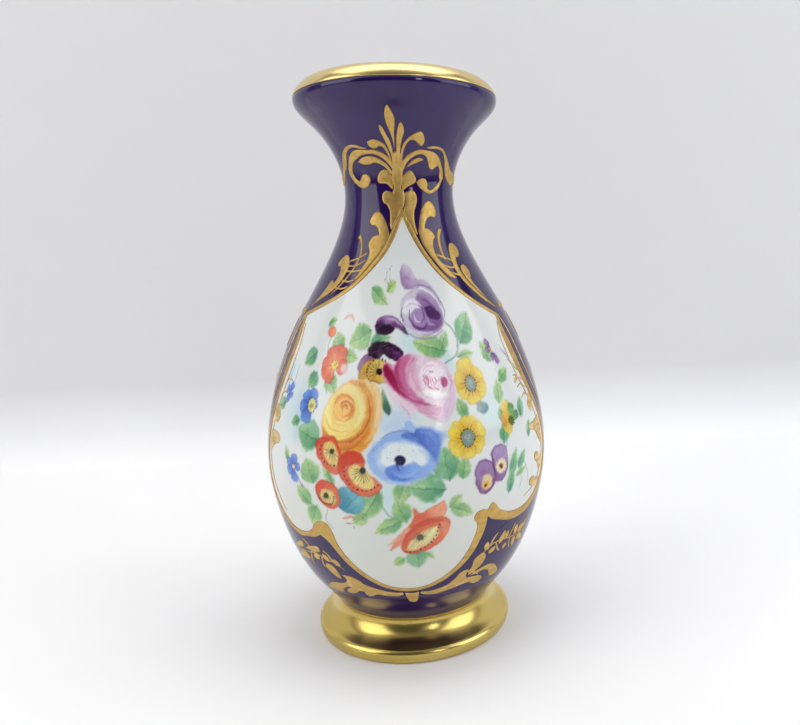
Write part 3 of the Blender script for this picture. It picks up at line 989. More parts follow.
# white panel glaze, a touch blue, tinted by the thin washes painted on it
RESERVE, nt, b = material("panel_glaze", lin((0.885, 0.900, 0.893)), 0.09)
f = noise_tex(nt, 45.0, 4.0)
tint = ramp(nt, f, [(0.3, lin((0.985, 0.993, 0.998))), (0.7, lin((1.0, 1.0, 0.995)))])
a = node(nt, "ShaderNodeAttribute", attribute_name="paint")
mx = node(nt, "ShaderNodeMix", data_type="RGBA", blend_type="MULTIPLY")
mx.inputs[0].default_value = 1.0
nt.links.new(a.outputs["Color"], mx.inputs[6])
nt.links.new(tint, mx.inputs[7])
nt.links.new(mx.outputs[2], b.inputs["Base Color"])
nt.links.new(to_range(nt, f, 0.3, 0.7, 0.07, 0.12), b.inputs["Roughness"])
bump(nt, b, noise_tex(nt, 150.0, 2.0), 0.03, 0.0004)

# burnished gold on the rim and foot
def burnished(name, dark, mid, light, r0, r1):
    """Burnished gold: rubbed round the axis, with thin and thick places."""
    m, nt, b = material(name, lin(mid), 0.5 * (r0 + r1), metal=1.0)
    f = noise_tex(nt, 26.0, 2.0, 0.5, (1, 1, 3))
    g = noise_tex(nt, 90.0, 2.0, 0.5, (1, 1, 4))
    nt.links.new(ramp(nt, f, [(0.3, lin(dark)), (0.55, lin(mid)), (0.75, lin(light))]),
                 b.inputs["Base Color"])
    nt.links.new(to_range(nt, g, 0.25, 0.75, r0, r1), b.inputs["Roughness"])
    return m


RIM_GOLD = burnished("rim_gold", (0.84, 0.73, 0.46), (0.88, 0.78, 0.52), (0.91, 0.82, 0.58),
                     0.22, 0.26)
FOOT_GOLD = burnished("foot_gold", (0.80, 0.70, 0.38), (0.84, 0.745, 0.43), (0.88, 0.79, 0.49),
                      0.22, 0.28)

# raised paste gilding: semi-matte, browner along its edge
GILT, nt, b = material("raised_gold", lin((0.80, 0.64, 0.38)), 0.42, metal=0.75)
a = node(nt, "ShaderNodeAttribute", attribute_name="inward")
t = node(nt, "ShaderNodeAttribute", attribute_name="tone")
edge = ramp(nt, to_range(nt, a.outputs["Fac"], 0.0, 0.16, 0.0, 1.0),
            [(0.0, lin((0.66, 0.55, 0.42))), (0.5, lin((0.88, 0.82, 0.74))),
             (1.0, lin((1.0, 1.0, 1.0)))])
f = noise_tex(nt, 700.0, 4.0, 0.65)
body = ramp(nt, t.outputs["Fac"], [(0.10, lin((0.66, 0.53, 0.27))), (0.45, lin((0.76, 0.625, 0.345))),
                                   (0.8, lin((0.82, 0.69, 0.42))), (1.0, lin((0.90, 0.81, 0.62)))])
mx = node(nt, "ShaderNodeMix", data_type="RGBA", blend_type="MULTIPLY")
mx.inputs[0].default_value = 1.0
nt.links.new(edge, mx.inputs[6])
nt.links.new(body, mx.inputs[7])
nt.links.new(mx.outputs[2], b.inputs["Base Color"])
nt.links.new(to_range(nt, f, 0.3, 0.7, 0.34, 0.54), b.inputs["Roughness"])
bump(nt, b, f, 0.25, 0.00012)

# overglaze enamel, coloured by its painting
ENAMEL, nt, b = material("painted_enamel", (0.8, 0.8, 0.8), 0.16)
a = node(nt, "ShaderNodeAttribute", attribute_name="paint")
tint = ramp(nt, noise_tex(nt, 45.0, 4.0),
            [(0.3, lin((0.985, 0.993, 0.998))), (0.7, lin((1.0, 1.0, 0.995)))])
mx = node(nt, "ShaderNodeMix", data_type="RGBA", blend_type="MULTIPLY")
mx.inputs[0].default_value = 1.0
nt.links.new(a.outputs["Color"], mx.inputs[6])
nt.links.new(tint, mx.inputs[7])
nt.links.new(mx.outputs[2], b.inputs["Base Color"])
f = noise_tex(nt, 1500.0, 3.0, 0.6)
nt.links.new(to_range(nt, f, 0.3, 0.7, 0.11, 0.22), b.inputs["Roughness"])
bump(nt, b, f, 0.06, 0.0001)


# ---------------------------------------------------------------------------
# Turned pieces
# ---------------------------------------------------------------------------
def offset_curve(poles, knots, n, off):
    X, N = bspline(poles, knots, n)
    return X + off * N


WALL_IN = offset_curve(WALL, WALL_KNOTS, 1201, -0.30)
LIP_X, LIP_N = bspline(LIP, LIP_KNOTS, 401)
LIP_IN = LIP_X - 0.30 * LIP_N
FOOT_X, FOOT_N = bspline(FOOT, FOOT_KNOTS, 401)
FOOT_N = -FOOT_N  # its line runs downwards
throat = [tuple(LIP_IN[-1])] + THROAT[1:]
THROAT_X, _ = bspline(throat, THROAT_KNOTS, 1201)

# body: seat, outside wall, lip, inside wall and floor
section = np.concatenate([
    [(0, 12.0)], resample([(2.0, 12.0), (28.15, 12.0), (28.4, 12.12)], 3.0),
    resample(WALL_IN, 1.2), resample(LIP_IN, 0.6)[1:], resample(THROAT_X, 1.5)[1:-1],
    [(0, THROAT_X[-1, 1])]])
piece(lathe("vase_body", section, 256), PORCELAIN, "porcelain", "body")

# foot ring: seat, cavetto, rolled edge, worn bare ring, hollow inside
section = np.concatenate([
    [(24.15, 11.6), (28.3, 11.6)], resample(FOOT_X, 0.45),
    [(35.85, 0.28), (35.45, 0.07), (35.1, 0.0), (33.5, 0.0), (32.0, 0.0), (31.7, 0.1),
     (31.45, 0.35), (30.9, 1.4), (29.8, 3.0), (28.2, 5.2), (26.8, 6.8), (25.2, 8.4),
     (24.4, 10.2), (24.0, 11.4)]])
piece(lathe("vase_foot", section, 256), BISCUIT, "porcelain", "foot")

# slip film squeezed out a little at both edges of the joint
section = [(24.0, 11.6), (26.0, 11.61), (28.35, 11.6), (28.52, 11.68), (28.56, 11.8),
           (28.52, 11.92), (28.35, 12.0), (26.0, 11.99), (24.0, 12.0), (23.82, 11.92),
           (23.78, 11.8), (23.82, 11.68)]
piece(lathe("luting_slip_film", section, 192), SLIP, "slip", "luting_slip")

# gold over the lip and over the foot
out = LIP_X + 0.05 * LIP_N
section = np.concatenate([resample(out, 0.35), resample(LIP_IN, 0.7)[::-1]])
piece(lathe("rim_gold", section, 320), RIM_GOLD, "burnished_gold", "rim_gilding")

# the foot's gold laps a little way up the glaze above the joint
k = 0.20
out = FOOT_X + k * FOOT_N
section = np.concatenate([
    [(28.93, 13.17), (29.25, 13.02), (29.05, 12.75), (28.78, 12.35), (28.68, 12.0)],
    resample(out, 0.35)[1:], [(36.12, 0.52)], resample(FOOT_X, 0.8)[::-1][1:],
    [(28.42, 12.02)]])
piece(lathe("foot_gold", section, 320), FOOT_GOLD, "burnished_gold", "foot_gilding")


# ---------------------------------------------------------------------------
# Glaze coats: cobalt round the two windows, white inside them
# ---------------------------------------------------------------------------
Z_LO, Z_HI = WALL_X[0, 1] + 0.001, WALL_X[-1, 1] - 0.001


def heights(z0, z1, step):
    """Heights spaced evenly along the wall line."""
    s0, s1 = arc(z0), arc(z1)
    m = int(round((s1 - s0) / step)) + 1
    return np.interp(np.linspace(s0, s1, m), WALL_S, WALL_X[:, 1])


# cobalt in one coat: a half drawn from the front, its mirror, sewn at the sides
zc = heights(Z_LO, Z_HI, 1.0)
pc = np.linspace(-90, 90, 151)
F = -(field(pc, zc, [PANEL], pad_z=4.0) + 0.45)
F[0, :] = np.maximum(F[0, :], 0.01)
P, faces, rims = region(F)
phi = np.interp(P[:, 1], np.arange(len(pc)), pc)
z = np.interp(P[:, 0], np.arange(len(zc)), zc)
seam = np.abs(np.abs(phi) - 90.0) < 1e-6
rims = np.concatenate([rims, border(faces, rims)])
rims = rims[~(seam[rims[:, 0]] & seam[rims[:, 1]])]
n = len(P)
other = np.where(seam, np.arange(n), n + np.cumsum(~seam) - 1)
M = n + int((~seam).sum())
V = []
for low in (0.0, -0.28):
    V += [on_wall(phi, z, np.full(n, low), False),
          on_wall(phi[~seam], z[~seam], np.full(M - n, low), True)]
fs = list(faces) + [other[f][:, ::-1] for f in faces]
fs += [f[:, ::-1] + M for f in faces] + [other[f] + M for f in faces]
for ids, step in ((rims, 1), (other[rims], -1)):
    a, b = ids[:, 0], ids[:, 1]
    fs.append(np.stack([b, a, a + M, b + M], 1)[:, ::step])
piece(new_mesh("cobalt_coat", np.concatenate(V), fs, flat=2 * len(faces) + 2),
      COBALT, "cobalt_glaze", "cobalt_ground")


# ---------------------------------------------------------------------------
# Raised gold of the front, the back and the sides
# ---------------------------------------------------------------------------
def box_outline(a, z0, z1):
    return [(-a, z0, 1), (a, z0, 1), (a, z1, 1), (-a, z1, 1)]


GP = np.linspace(-75, 75, 521)
GZ = heights(22.0, 188.0, 0.27)
F_PANEL = field(GP, GZ, [PANEL], pad_z=3.0, n=5)
F_FRAME = field(GP, GZ, [FRAME], pad_z=3.0, n=5)
F_RING = np.minimum(F_FRAME, -F_PANEL)

# fine lines that follow the frame at the sides, and the grasses beside them
LINES = [
    ([(54.8, 116.2), (52.0, 112.0), (51.6, 107.0), (53.0, 101.0), (56.2, 94.5), (60.2, 88.0),
      (63.9, 81.0), (66.0, 74.0), (65.6, 67.5), (62.6, 62.4), (57.0, 58.4), (50.0, 56.6)], 0.34),
    ([(59.8, 118.4), (62.4, 113.4), (63.2, 108.0), (64.6, 102.0), (68.0, 94.5), (72.4, 87.0)], 0.46),
    ([(-60.6, 117.5), (-57.8, 112.0), (-57.6, 106.5), (-59.2, 99.5), (-62.2, 91.5), (-65.4, 83.0),
      (-66.8, 74.5), (-66.4, 67.5), (-63.0, 61.0), (-57.6, 54.8)], 0.34),
    ([(-67.0, 120.0), (-68.8, 114.0), (-69.0, 107.0), (-70.4, 99.5), (-73.2, 91.0)], 0.46),
    ([(58.6, 93.4), (55.0, 95.0), (51.6, 94.2)], 0.26), ([(57.6, 96.0), (54.0, 98.0), (50.8, 98.4)], 0.26),
    ([(56.0, 99.6), (53.2, 101.6), (51.4, 103.8)], 0.26), ([(60.0, 90.4), (56.4, 91.6), (53.0, 90.4)], 0.26),
    ([(-60.4, 98.0), (-57.4, 99.6), (-54.6, 99.2)], 0.26), ([(-61.8, 94.0), (-58.4, 95.4), (-55.6, 94.4)], 0.26),
]
# tendrils that carry the leaves of the lower garland, with small leaves on them
VINES = [
    ([(27.0, 36.6), (30.4, 40.2), (34.8, 42.6), (40.0, 42.9), (45.6, 42.2), (52.0, 42.0), (58.6, 42.6)], 0.30),
    ([(33.4, 42.0), (34.6, 44.6), (36.6, 46.4)], 0.42), ([(44.6, 42.6), (46.2, 45.4), (47.0, 47.2)], 0.42),
    ([(45.4, 41.8), (46.2, 39.4), (47.2, 37.8)], 0.40), ([(36.4, 42.8), (38.6, 39.6), (40.2, 38.6)], 0.40),
    ([(53.4, 42.2), (55.4, 44.8), (58.2, 46.6)], 0.36), ([(53.0, 42.0), (55.6, 38.2), (57.4, 36.8)], 0.36),
    ([(23.4, 34.2), (27.2, 33.2), (30.6, 31.4)], 0.50), ([(20.2, 31.8), (24.6, 30.8), (28.4, 30.6)], 0.46),
    ([(-30.4, 36.8), (-34.2, 39.0), (-39.0, 40.2), (-44.6, 41.3), (-50.6, 40.6), (-57.6, 40.4)], 0.30),
    ([(-35.6, 39.4), (-36.8, 42.0), (-39.0, 43.4)], 0.42), ([(-41.0, 40.6), (-42.0, 37.8), (-41.4, 36.2)], 0.40),
    ([(-46.6, 41.2), (-48.2, 44.4), (-50.8, 45.8)], 0.38), ([(-47.6, 41.0), (-49.4, 37.6), (-49.0, 35.8)], 0.40),
    ([(-24.0, 32.4), (-28.4, 34.0), (-32.4, 34.0)], 0.46), ([(-16.6, 28.6), (-21.0, 30.4), (-25.4, 30.8)], 0.44)]
# joins the leaves of the crest into one hub
HUB = [[(-3.8, 173.2), (-1.0, 173.6), (2.4, 173.0), (4.0, 170.4), (3.8, 166.0), (3.0, 163.0), (-5.2, 163.0),
        (-6.2, 166.6), (-5.8, 170.6)],
       [(-5.6, 161.4), (3.6, 161.6), (4.6, 158.0), (2.4, 154.2), (-1.0, 151.4), (-6.0, 152.8), (-7.4, 157.0)]]


def crop(F):
    """The part of the front grid that a shape needs."""
    r, c = np.nonzero(F > -0.5)
    r0, r1 = max(0, r.min() - 2), min(F.shape[0], r.max() + 3)
    c0, c1 = max(0, c.min() - 2), min(F.shape[1], c.max() + 3)
    return GP[c0:c1], GZ[r0:r1], F[r0:r1, c0:c1]




def shrunk(o, k):
    """An outline drawn in towards its own middle."""
    c = np.mean([(q[0], q[1]) for q in o], axis=0)
    return [(c[0] + k * (q[0] - c[0]), c[1] + k * (q[1] - c[1])) + tuple(q[2:]) for q in o]


TUFTS = [shrunk(o, 0.74) for o in SCROLLS[15:]]
groups = [("frame", "frame", F_RING, 0.22, 0.0)]
for tag, node_tag, shapes, lines, pale in (
        ("crest", "crest", CREST + HUB, (), 0.0), ("scrolls", "scrolls", SCROLLS[:15], (), 0.0),
        ("tufts", "scrolls", TUFTS, LINES, 0.35), ("base", "base", BASE, VINES, 0.22)):
    G = field(GP, GZ, shapes, lines)
    groups.append((tag, node_tag, np.minimum(G, -F_RING), 0.24, pale))
for i, (tag, node_tag, F, high, pale) in enumerate(groups):
    p, z, f = crop(F)
    for side, mirror in (("front", False), ("back", True)):
        gold_shell("raised_gold_%s_%s" % (tag, side), p, z, f, GILT, "raised_gold",
                   ["gilt_%s_%s" % (node_tag, side)], mirror, height=high, seed=40 + i, pale=pale)

SP = np.linspace(-26, 26, 191)
SZ = heights(17.0, 171.0, 0.27)
F_SIDE = field(SP, SZ, SIDE + [box_outline(17.7, 164.9, 168.0),
                               box_outline(21.7, 120.5, 122.2)])
for tag, turn in (("right", 90.0), ("left", -90.0)):
    gold_shell("raised_gold_side_" + tag, SP, SZ, F_SIDE, GILT, "raised_gold",
               ["gilt_side_" + tag], turn=turn, seed=60)


# ---------------------------------------------------------------------------
# The bouquet. Positions are (angle, height) on the panel.
# ---------------------------------------------------------------------------
OWNER = np.zeros((CH, CW), np.int16)
GROUPS = ["none"]


def begin(name):
    GROUPS.append(name)


_lay = lay


def lay(s, rgb, a, thick=1.0):
    a = np.clip(a, 0, 1)
    own = (a > 0.35) | ((COVER[s] < 0.12) & (a > 0.02))
    OWNER[s] = np.where(own, len(GROUPS) - 1, OWNER[s])
    _lay(s, rgb, a, thick)


def arcs(phi, z, r, a0, a1, n=6, sq=1.0):
    """Points (phi, z) along an arc round a centre, radius in millimetres."""
    t = np.radians(np.linspace(a0, a1, n))
    rr = np.linspace(r[0], r[1], n) if isinstance(r, tuple) else np.full(n, float(r))
    return [(phi + q * math.cos(v) / 0.9, z + q * sq * math.sin(v)) for v, q in zip(t, rr)]


def simple_flower(phi, z, r, n, a0, col, tip, centre, rim=None, core=None, dotcol=None,
                  cr=0.28, lines=None, w=1.0):
    """Open flower of n rounded petals round a dotted centre."""
    for i in range(n):
        deg = a0 + 360.0 * i / n
        petal(phi, z, r * (0.94 + 0.08 * ((i * 5) % 3) / 2), r * 0.98 * w, deg, col, tip, rim)
    for i in range(n):
        deg = a0 + 360.0 * i / n
        for k in (-14, 0, 13):
            if lines is not None:
                v = math.radians(deg + k)
                stroke([(phi + r * 0.30 * math.cos(v) / 0.9, z + r * 0.30 * math.sin(v)),
                        (phi + r * 0.74 * math.cos(v) / 0.9, z + r * 0.74 * math.sin(v))],
                       0.10, 0.12, 0.04, lines, a=0.5, soft=0.1)
    fill(ring_pts(phi, z, r * cr, 10, 10), centre, a=0.95, soft=0.25, core=core, core_w=r * cr * 0.3)
    if dotcol is not None:
        dots(ring_pts(phi, z, r * cr * 1.02, 15, 5), 0.24, dotcol)
        dots(ring_pts(phi, z, r * cr * 0.35, 4, 30), 0.16, dotcol, a=0.6)


# soft washes of pale blue and green behind everything
begin("washes")
for p, z, rx, ry, c, a in (
        (2.0, 112.0, 6.0, 8.0, (0.72, 0.88, 0.90), 0.55), (18.0, 106.0, 5.0, 5.0, (0.74, 0.90, 0.90), 0.55),
        (-48.0, 92.0, 7.0, 9.0, (0.74, 0.87, 0.93), 0.5), (-44.0, 86.0, 7.0, 7.0, (0.72, 0.87, 0.90), 0.5),
        (33.0, 89.0, 6.0, 8.0, (0.78, 0.91, 0.91), 0.5), (-8.0, 65.0, 5.0, 8.0, (0.72, 0.90, 0.91), 0.55),
        (-3.0, 90.0, 9.0, 5.0, (0.70, 0.83, 0.93), 0.6), (8.0, 62.0, 9.0, 6.0, (0.82, 0.93, 0.91), 0.5),
        (44.0, 66.0, 6.0, 9.0, (0.82, 0.92, 0.93), 0.4), (-56.0, 101.0, 4.0, 8.0, (0.78, 0.89, 0.94), 0.45),
        (-52.0, 84.0, 5.0, 8.0, (0.80, 0.91, 0.93), 0.4), (5.0, 100.0, 16.0, 12.0, (0.93, 0.86, 0.90), 0.35)):
    wash(p, z, rx, ry, c, a)

# ---- stems -----------------------------------------------------------------
begin("stems")
STEM = (0.50, 0.58, 0.52)
stroke([(17.5, 119.0), (22.0, 116.5), (24.0, 112.0), (22.0, 107.5), (17.0, 105.5), (13.0, 105.0)],
       0.25, 0.32, 0.14, STEM, a=0.8, soft=0.15)
stroke([(30.0, 107.6), (26.0, 107.8), (22.0, 107.0)], 0.1, 0.2, 0.1, STEM, a=0.6, soft=0.12)
stroke([(-36.0, 114.0), (-36.4, 111.0), (-35.0, 108.0)], 0.15, 0.2, 0.1, STEM, a=0.7, soft=0.12)
stroke([(-36.0, 103.0), (-34.0, 99.5), (-32.5, 96.5)], 0.12, 0.2, 0.1, STEM, a=0.6, soft=0.12)
stroke([(-10.0, 67.0), (-10.5, 63.0), (-8.0, 59.0), (-5.0, 57.5)], 0.18, 0.24, 0.1, STEM, a=0.7, soft=0.12)
stroke([(38.0, 84.0), (39.0, 78.0), (36.0, 74.5)], 0.15, 0.2, 0.1, STEM, a=0.6, soft=0.12)
stroke([(50.0, 104.0), (55.0, 101.0), (58.0, 96.5)], 0.12, 0.22, 0.1, STEM, a=0.6, soft=0.12)
stroke([(-56.0, 104.0), (-57.0, 99.0), (-58.0, 94.5)], 0.2, 0.3, 0.12, (0.42, 0.60, 0.78), a=0.6, soft=0.2)
stroke([(-52.0, 104.5), (-53.0, 99.0), (-56.0, 95.0)], 0.2, 0.25, 0.12, (0.42, 0.60, 0.78), a=0.5, soft=0.2)
stroke([(-34.0, 69.0), (-36.0, 66.0), (-34.5, 62.5)], 0.12, 0.2, 0.1, STEM, a=0.6, soft=0.12)
stroke([(-31.5, 60.0), (-33.0, 56.0), (-30.0, 52.5)], 0.12, 0.2, 0.08, STEM, a=0.6, soft=0.12)
stroke([(48.0, 70.0), (51.0, 66.0), (52.0, 61.0)], 0.12, 0.2, 0.08, STEM, a=0.55, soft=0.12)
stroke([(46.0, 68.0), (47.0, 63.0), (45.0, 60.5)], 0.12, 0.18, 0.08, STEM, a=0.55, soft=0.12)

# ---- leaves: angle, height, length, width, direction, colours --------------
LEAF_SET = [
    (-13.5, 126.5, 10.5, 4.6, -30, 0, 1), (-6.6, 129.6, 5.4, 3.4, 35, 2, 1),
    (-20.6, 113.9, 10.0, 7.6, 205, 0, -1), (-11.0, 112.8, 8.5, 5.0, 15, 1, 1),
    (10.4, 110.6, 13.5, 6.6, 165, 0, 1), (17.6, 112.4, 6.5, 3.4, 60, 0, -1),
    (29.5, 115.6, 12.5, 7.2, 50, 1, -1), (26.5, 107.4, 7.0, 2.6, 8, 3, 1),
    (-37.6, 118.4, 4.6, 3.0, 20, 0, 1), (-31.2, 112.4, 7.0, 5.4, 115, 0, -1),
    (-24.2, 108.2, 7.0, 4.2, -15, 3, 1), (-45.4, 107.2, 7.4, 5.6, 215, 1, 1),
    (-41.0, 100.3, 6.0, 4.6, 235, 1, -1), (-31.2, 99.6, 6.4, 5.0, -55, 0, 1),
    (-59.0, 91.4, 6.0, 3.8, 200, 1, 1), (-39.6, 83.4, 10.8, 9.0, 165, 1, 1),
    (-38.4, 72.0, 8.6, 8.0, 110, 0, -1), (-51.5, 76.0, 5.0, 2.6, 110, 3, 1),
    (-42.4, 63.4, 8.4, 5.4, 140, 0, 1), (-38.6, 57.0, 8.0, 5.6, 240, 0, -1),
    (-30.4, 72.6, 5.0, 2.8, 240, 3, 1), (-29.0, 69.6, 5.4, 2.6, 290, 0, 1),
    (37.4, 107.6, 7.4, 4.2, 110, 0, 1), (44.0, 99.4, 7.4, 3.6, 30, 0, -1),
    (38.8, 94.6, 8.0, 4.0, 80, 3, 1), (20.6, 91.2, 7.0, 3.8, 110, 0, -1),
    (50.5, 88.0, 7.0, 3.4, 75, 1, 1), (38.0, 87.0, 5.0, 2.8, 100, 1, -1),
    (38.4, 81.6, 7.6, 4.2, 75, 1, 1), (54.0, 80.0, 6.0, 2.6, 70, 1, -1),
    (12.8, 74.6, 11.0, 8.2, 100, 1, -1), (19.4, 72.8, 7.6, 4.4, 80, 0, 1),
    (5.4, 67.4, 12.4, 8.6, 172, 1, 1), (-3.4, 66.2, 7.0, 5.0, 250, 0, -1),
    (-14.6, 62.2, 12.0, 6.4, 235, 0, 1), (-19.0, 57.4, 6.5, 4.0, 215, 3, -1),
    (-8.6, 55.0, 10.4, 4.8, 205, 0, 1), (-3.6, 60.6, 8.6, 5.8, 110, 0, -1),
    (18.4, 58.6, 9.0, 4.4, -25, 0, 1), (16.0, 62.2, 5.6, 3.2, 40, 3, 1),
    (1.4, 42.8, 7.4, 7.0, -80, 1, 1), (-5.6, 42.0, 4.6, 3.0, 220, 3, 1),
    (6.6, 43.8, 4.0, 2.2, -40, 3, -1), (42.0, 70.6, 9.6, 3.6, 70, 1, 1),
    (40.4, 64.8, 9.0, 3.2, 80, 1, -1), (47.0, 70.8, 7.0, 3.0, 55, 1, 1),
    (46.5, 66.6, 6.0, 2.2, 20, 3, 1), (-47.4, 87.0, 5.0, 3.0, 200, 1, 1)]
GREENS = [(G_LIGHT, G_MID, G_DARK), ((0.63, 0.80, 0.57), (0.40, 0.66, 0.46), (0.16, 0.45, 0.37)),
          ((0.80, 0.88, 0.52), (0.66, 0.80, 0.44), (0.42, 0.62, 0.36)),
          ((0.74, 0.84, 0.56), (0.56, 0.74, 0.46), (0.36, 0.58, 0.38))]
begin("leaves")
for i, (p, z, ln, wd, deg, kind, side) in enumerate(LEAF_SET):
    g = GREENS[kind]
    leaf(p, z, ln, wd, deg, g[0], g[1], g[2], 3 + i % 3, side)
# grey green leaf between the roses
fill([(-9.6, 98.6, 1), (-7.6, 95.6), (-6.2, 92.4), (-7.0, 90.4, 1), (-9.0, 92.2), (-10.0, 95.4)],
     (0.46, 0.60, 0.48), soft=0.4, to=((-9, 98), (-7, 91), (0.24, 0.40, 0.34)), ang=1.9)
# teal leaf
fill([(-27.5, 66.0, 1), (-24.0, 68.2), (-19.5, 67.0), (-16.4, 64.0), (-17.6, 60.6),
      (-21.0, 59.0, 1), (-25.0, 60.0), (-27.6, 62.6)], (0.45, 0.72, 0.76), soft=0.4,
     to=((-17, 67), (-26, 60), (0.22, 0.52, 0.62)), ang=0.6, rim=(0.16, 0.42, 0.52), rim_a=0.3)
stroke([(-17.5, 66.5), (-21.0, 63.5), (-25.0, 60.5)], 0.1, 0.2, 0.08, (0.14, 0.38, 0.46), a=0.5)
fill([(-17.0, 67.6), (-14.6, 67.0), (-13.8, 65.0), (-15.8, 64.6, 1)], (0.50, 0.76, 0.80), soft=0.35)

# ---- violet rose at the top ------------------------------------------------
begin("violet_rose")
VIO, VIO_D, VIO_L = (0.60, 0.46, 0.66), (0.30, 0.13, 0.36), (0.80, 0.73, 0.83)
fill([(-0.6, 129.6, 1), (-1.6, 133.0), (-0.6, 136.0), (2.4, 136.6), (5.6, 134.8), (8.0, 132.0),
      (10.5, 130.6), (8.0, 128.6), (4.0, 128.4), (1.2, 128.4)], VIO_L, soft=0.4,
     to=((7, 134), (1, 129), VIO), ang=0.9, rim=VIO, rim_a=0.4, a=0.9)
stroke([(1.6, 131.0), (7.0, 130.6), (13.0, 130.0), (18.0, 127.0), (20.4, 122.6)], 0.5, 1.15, 0.3,
       (0.70, 0.62, 0.76), a=0.85, soft=0.35, streak=0.5)
stroke([(4.0, 128.8), (9.6, 129.8), (15.4, 128.8), (19.4, 125.8), (21.2, 121.6), (20.6, 118.8)],
       0.12, 0.34, 0.14, (0.52, 0.46, 0.60), a=0.85, soft=0.2)
fill([(-1.6, 122.6), (-0.4, 125.6), (3.6, 127.6), (9.6, 128.4), (15.0, 126.8), (19.0, 123.2), (20.0, 118.8),
      (17.4, 115.6), (12.2, 114.2), (6.4, 114.2), (1.6, 116.2), (-0.8, 119.2)], (0.80, 0.76, 0.83), soft=0.55,
     to=((1, 125), (16, 117), (0.64, 0.53, 0.70)), ang=0.4, rim=(0.62, 0.52, 0.68), rim_w=0.9, rim_a=0.45)
fill([(7.6, 126.8), (11.6, 127.2), (16.0, 124.8), (19.0, 121.0), (18.6, 117.6), (14.8, 115.6), (9.6, 115.2),
      (5.4, 116.6), (3.4, 119.2), (4.8, 121.4), (7.6, 122.4), (6.4, 124.4)], (0.57, 0.43, 0.63), soft=0.6, ang=0.9,
     to=((9, 126), (12, 116), (0.46, 0.31, 0.54)))
stroke([(8.0, 127.2), (12.6, 126.4), (16.8, 123.6), (18.6, 120.2)], 0.3, 0.9, 0.3, (0.74, 0.66, 0.79), a=0.75,
       soft=0.4, streak=0.8)
stroke([(9.4, 125.2), (12.8, 124.4), (15.6, 122.6)], 0.2, 0.5, 0.15, (0.40, 0.26, 0.48), a=0.65, soft=0.25, streak=0.6)
fill([(-0.8, 122.2), (1.6, 124.8), (5.4, 125.4), (8.4, 124.0), (8.8, 122.2), (6.0, 121.6), (2.6, 121.0),
      (0.0, 120.6)], (0.92, 0.91, 0.94), soft=0.5, a=0.9)
stroke([(1.0, 122.8), (4.0, 124.0), (7.4, 123.4)], 0.12, 0.3, 0.1, (0.70, 0.62, 0.76), a=0.6, soft=0.2)
fill([(4.0, 121.2), (6.4, 122.6), (9.6, 122.0), (11.4, 119.8), (10.4, 117.4), (7.4, 116.6), (4.8, 117.8),
      (3.6, 119.6)], (0.66, 0.55, 0.73), soft=0.45, ang=1.1)
stroke([(3.0, 122.0), (2.8, 119.2), (5.2, 116.6), (8.8, 116.2), (11.0, 117.8)], 0.14, 0.40, 0.14, (0.31, 0.16, 0.40),
       a=0.85, soft=0.18)
stroke([(7.6, 123.6), (9.6, 121.8), (9.8, 119.4), (8.0, 118.0)], 0.12, 0.30, 0.1, (0.38, 0.22, 0.46), a=0.75, soft=0.18)
stroke([(5.0, 120.8), (5.4, 118.8), (7.6, 118.2)], 0.14, 0.36, 0.1, (0.88, 0.84, 0.92), a=0.8, soft=0.2)
stroke([(11.4, 119.4), (12.0, 117.6), (14.6, 117.0)], 0.2, 0.5, 0.15, (0.78, 0.70, 0.83), a=0.7, soft=0.3, streak=0.7)
fill([(10.8, 122.4, 1), (13.6, 123.0), (17.0, 121.6), (18.8, 119.8, 1), (16.6, 118.6), (13.6, 119.0),
      (11.6, 120.4)], (0.27, 0.11, 0.32), soft=0.4, ang=0.2, rim=(0.18, 0.05, 0.24))
stroke([(-1.0, 122.8), (-1.4, 120.4), (-0.2, 118.4)], 0.12, 0.26, 0.1, VIO_D, a=0.6)
dots([(-1.0, 122.0), (-0.6, 118.8), (0.4, 117.6)], 0.2, VIO_D, a=0.7)
stroke([(-0.8, 117.4), (2.0, 114.8), (7.0, 113.2), (13.4, 113.4), (18.0, 115.4)], 0.12, 0.32, 0.1, (0.58, 0.52, 0.66),
       a=0.75, soft=0.2)
stroke([(1.0, 116.6), (6.0, 114.9), (12.6, 114.9)], 0.2, 0.5, 0.15, (0.90, 0.88, 0.93), a=0.8, soft=0.3, streak=0.5)
# curled dark petal beside it
fill([(-14.2, 117.2, 1), (-12.6, 119.8), (-8.4, 120.6), (-4.2, 119.8), (-1.0, 118.0), (1.0, 115.6),
      (1.8, 114.2, 1), (-1.4, 115.8), (-5.0, 116.6), (-8.6, 115.4), (-12.4, 114.6)],
     (0.58, 0.40, 0.64), soft=0.35, to=((-7, 120.4), (-8, 115.4), (0.20, 0.05, 0.22)), ang=0.1,
     rim=(0.24, 0.10, 0.28), rim_a=0.5)
fill([(-12.6, 116.2, 1), (-9.6, 117.6), (-6.0, 117.4), (-4.4, 116.4, 1), (-6.2, 115.2), (-10.0, 114.6)],
     (0.14, 0.03, 0.16), soft=0.3)
stroke([(-8.0, 119.4), (-4.0, 118.8), (-1.0, 117.0)], 0.2, 0.4, 0.15, (0.86, 0.80, 0.90), a=0.6)
# stamens above the top leaf
begin("stamens")
for p0, p1 in (((-8.5, 130.0), (-9.8, 133.8)), ((-7.6, 129.4), (-10.6, 131.6)), ((-7.0, 130.0), (-8.0, 134.8))):
    stroke([p0, ((p0[0] + p1[0]) / 2 - 0.4, (p0[1] + p1[1]) / 2), p1], 0.08, 0.14, 0.08, (0.50, 0.52, 0.62), a=0.6)
dots([(-10.0, 134.0), (-8.2, 135.2), (-11.0, 131.8), (-6.9, 136.2)], 0.28, (0.46, 0.46, 0.60), a=0.8)

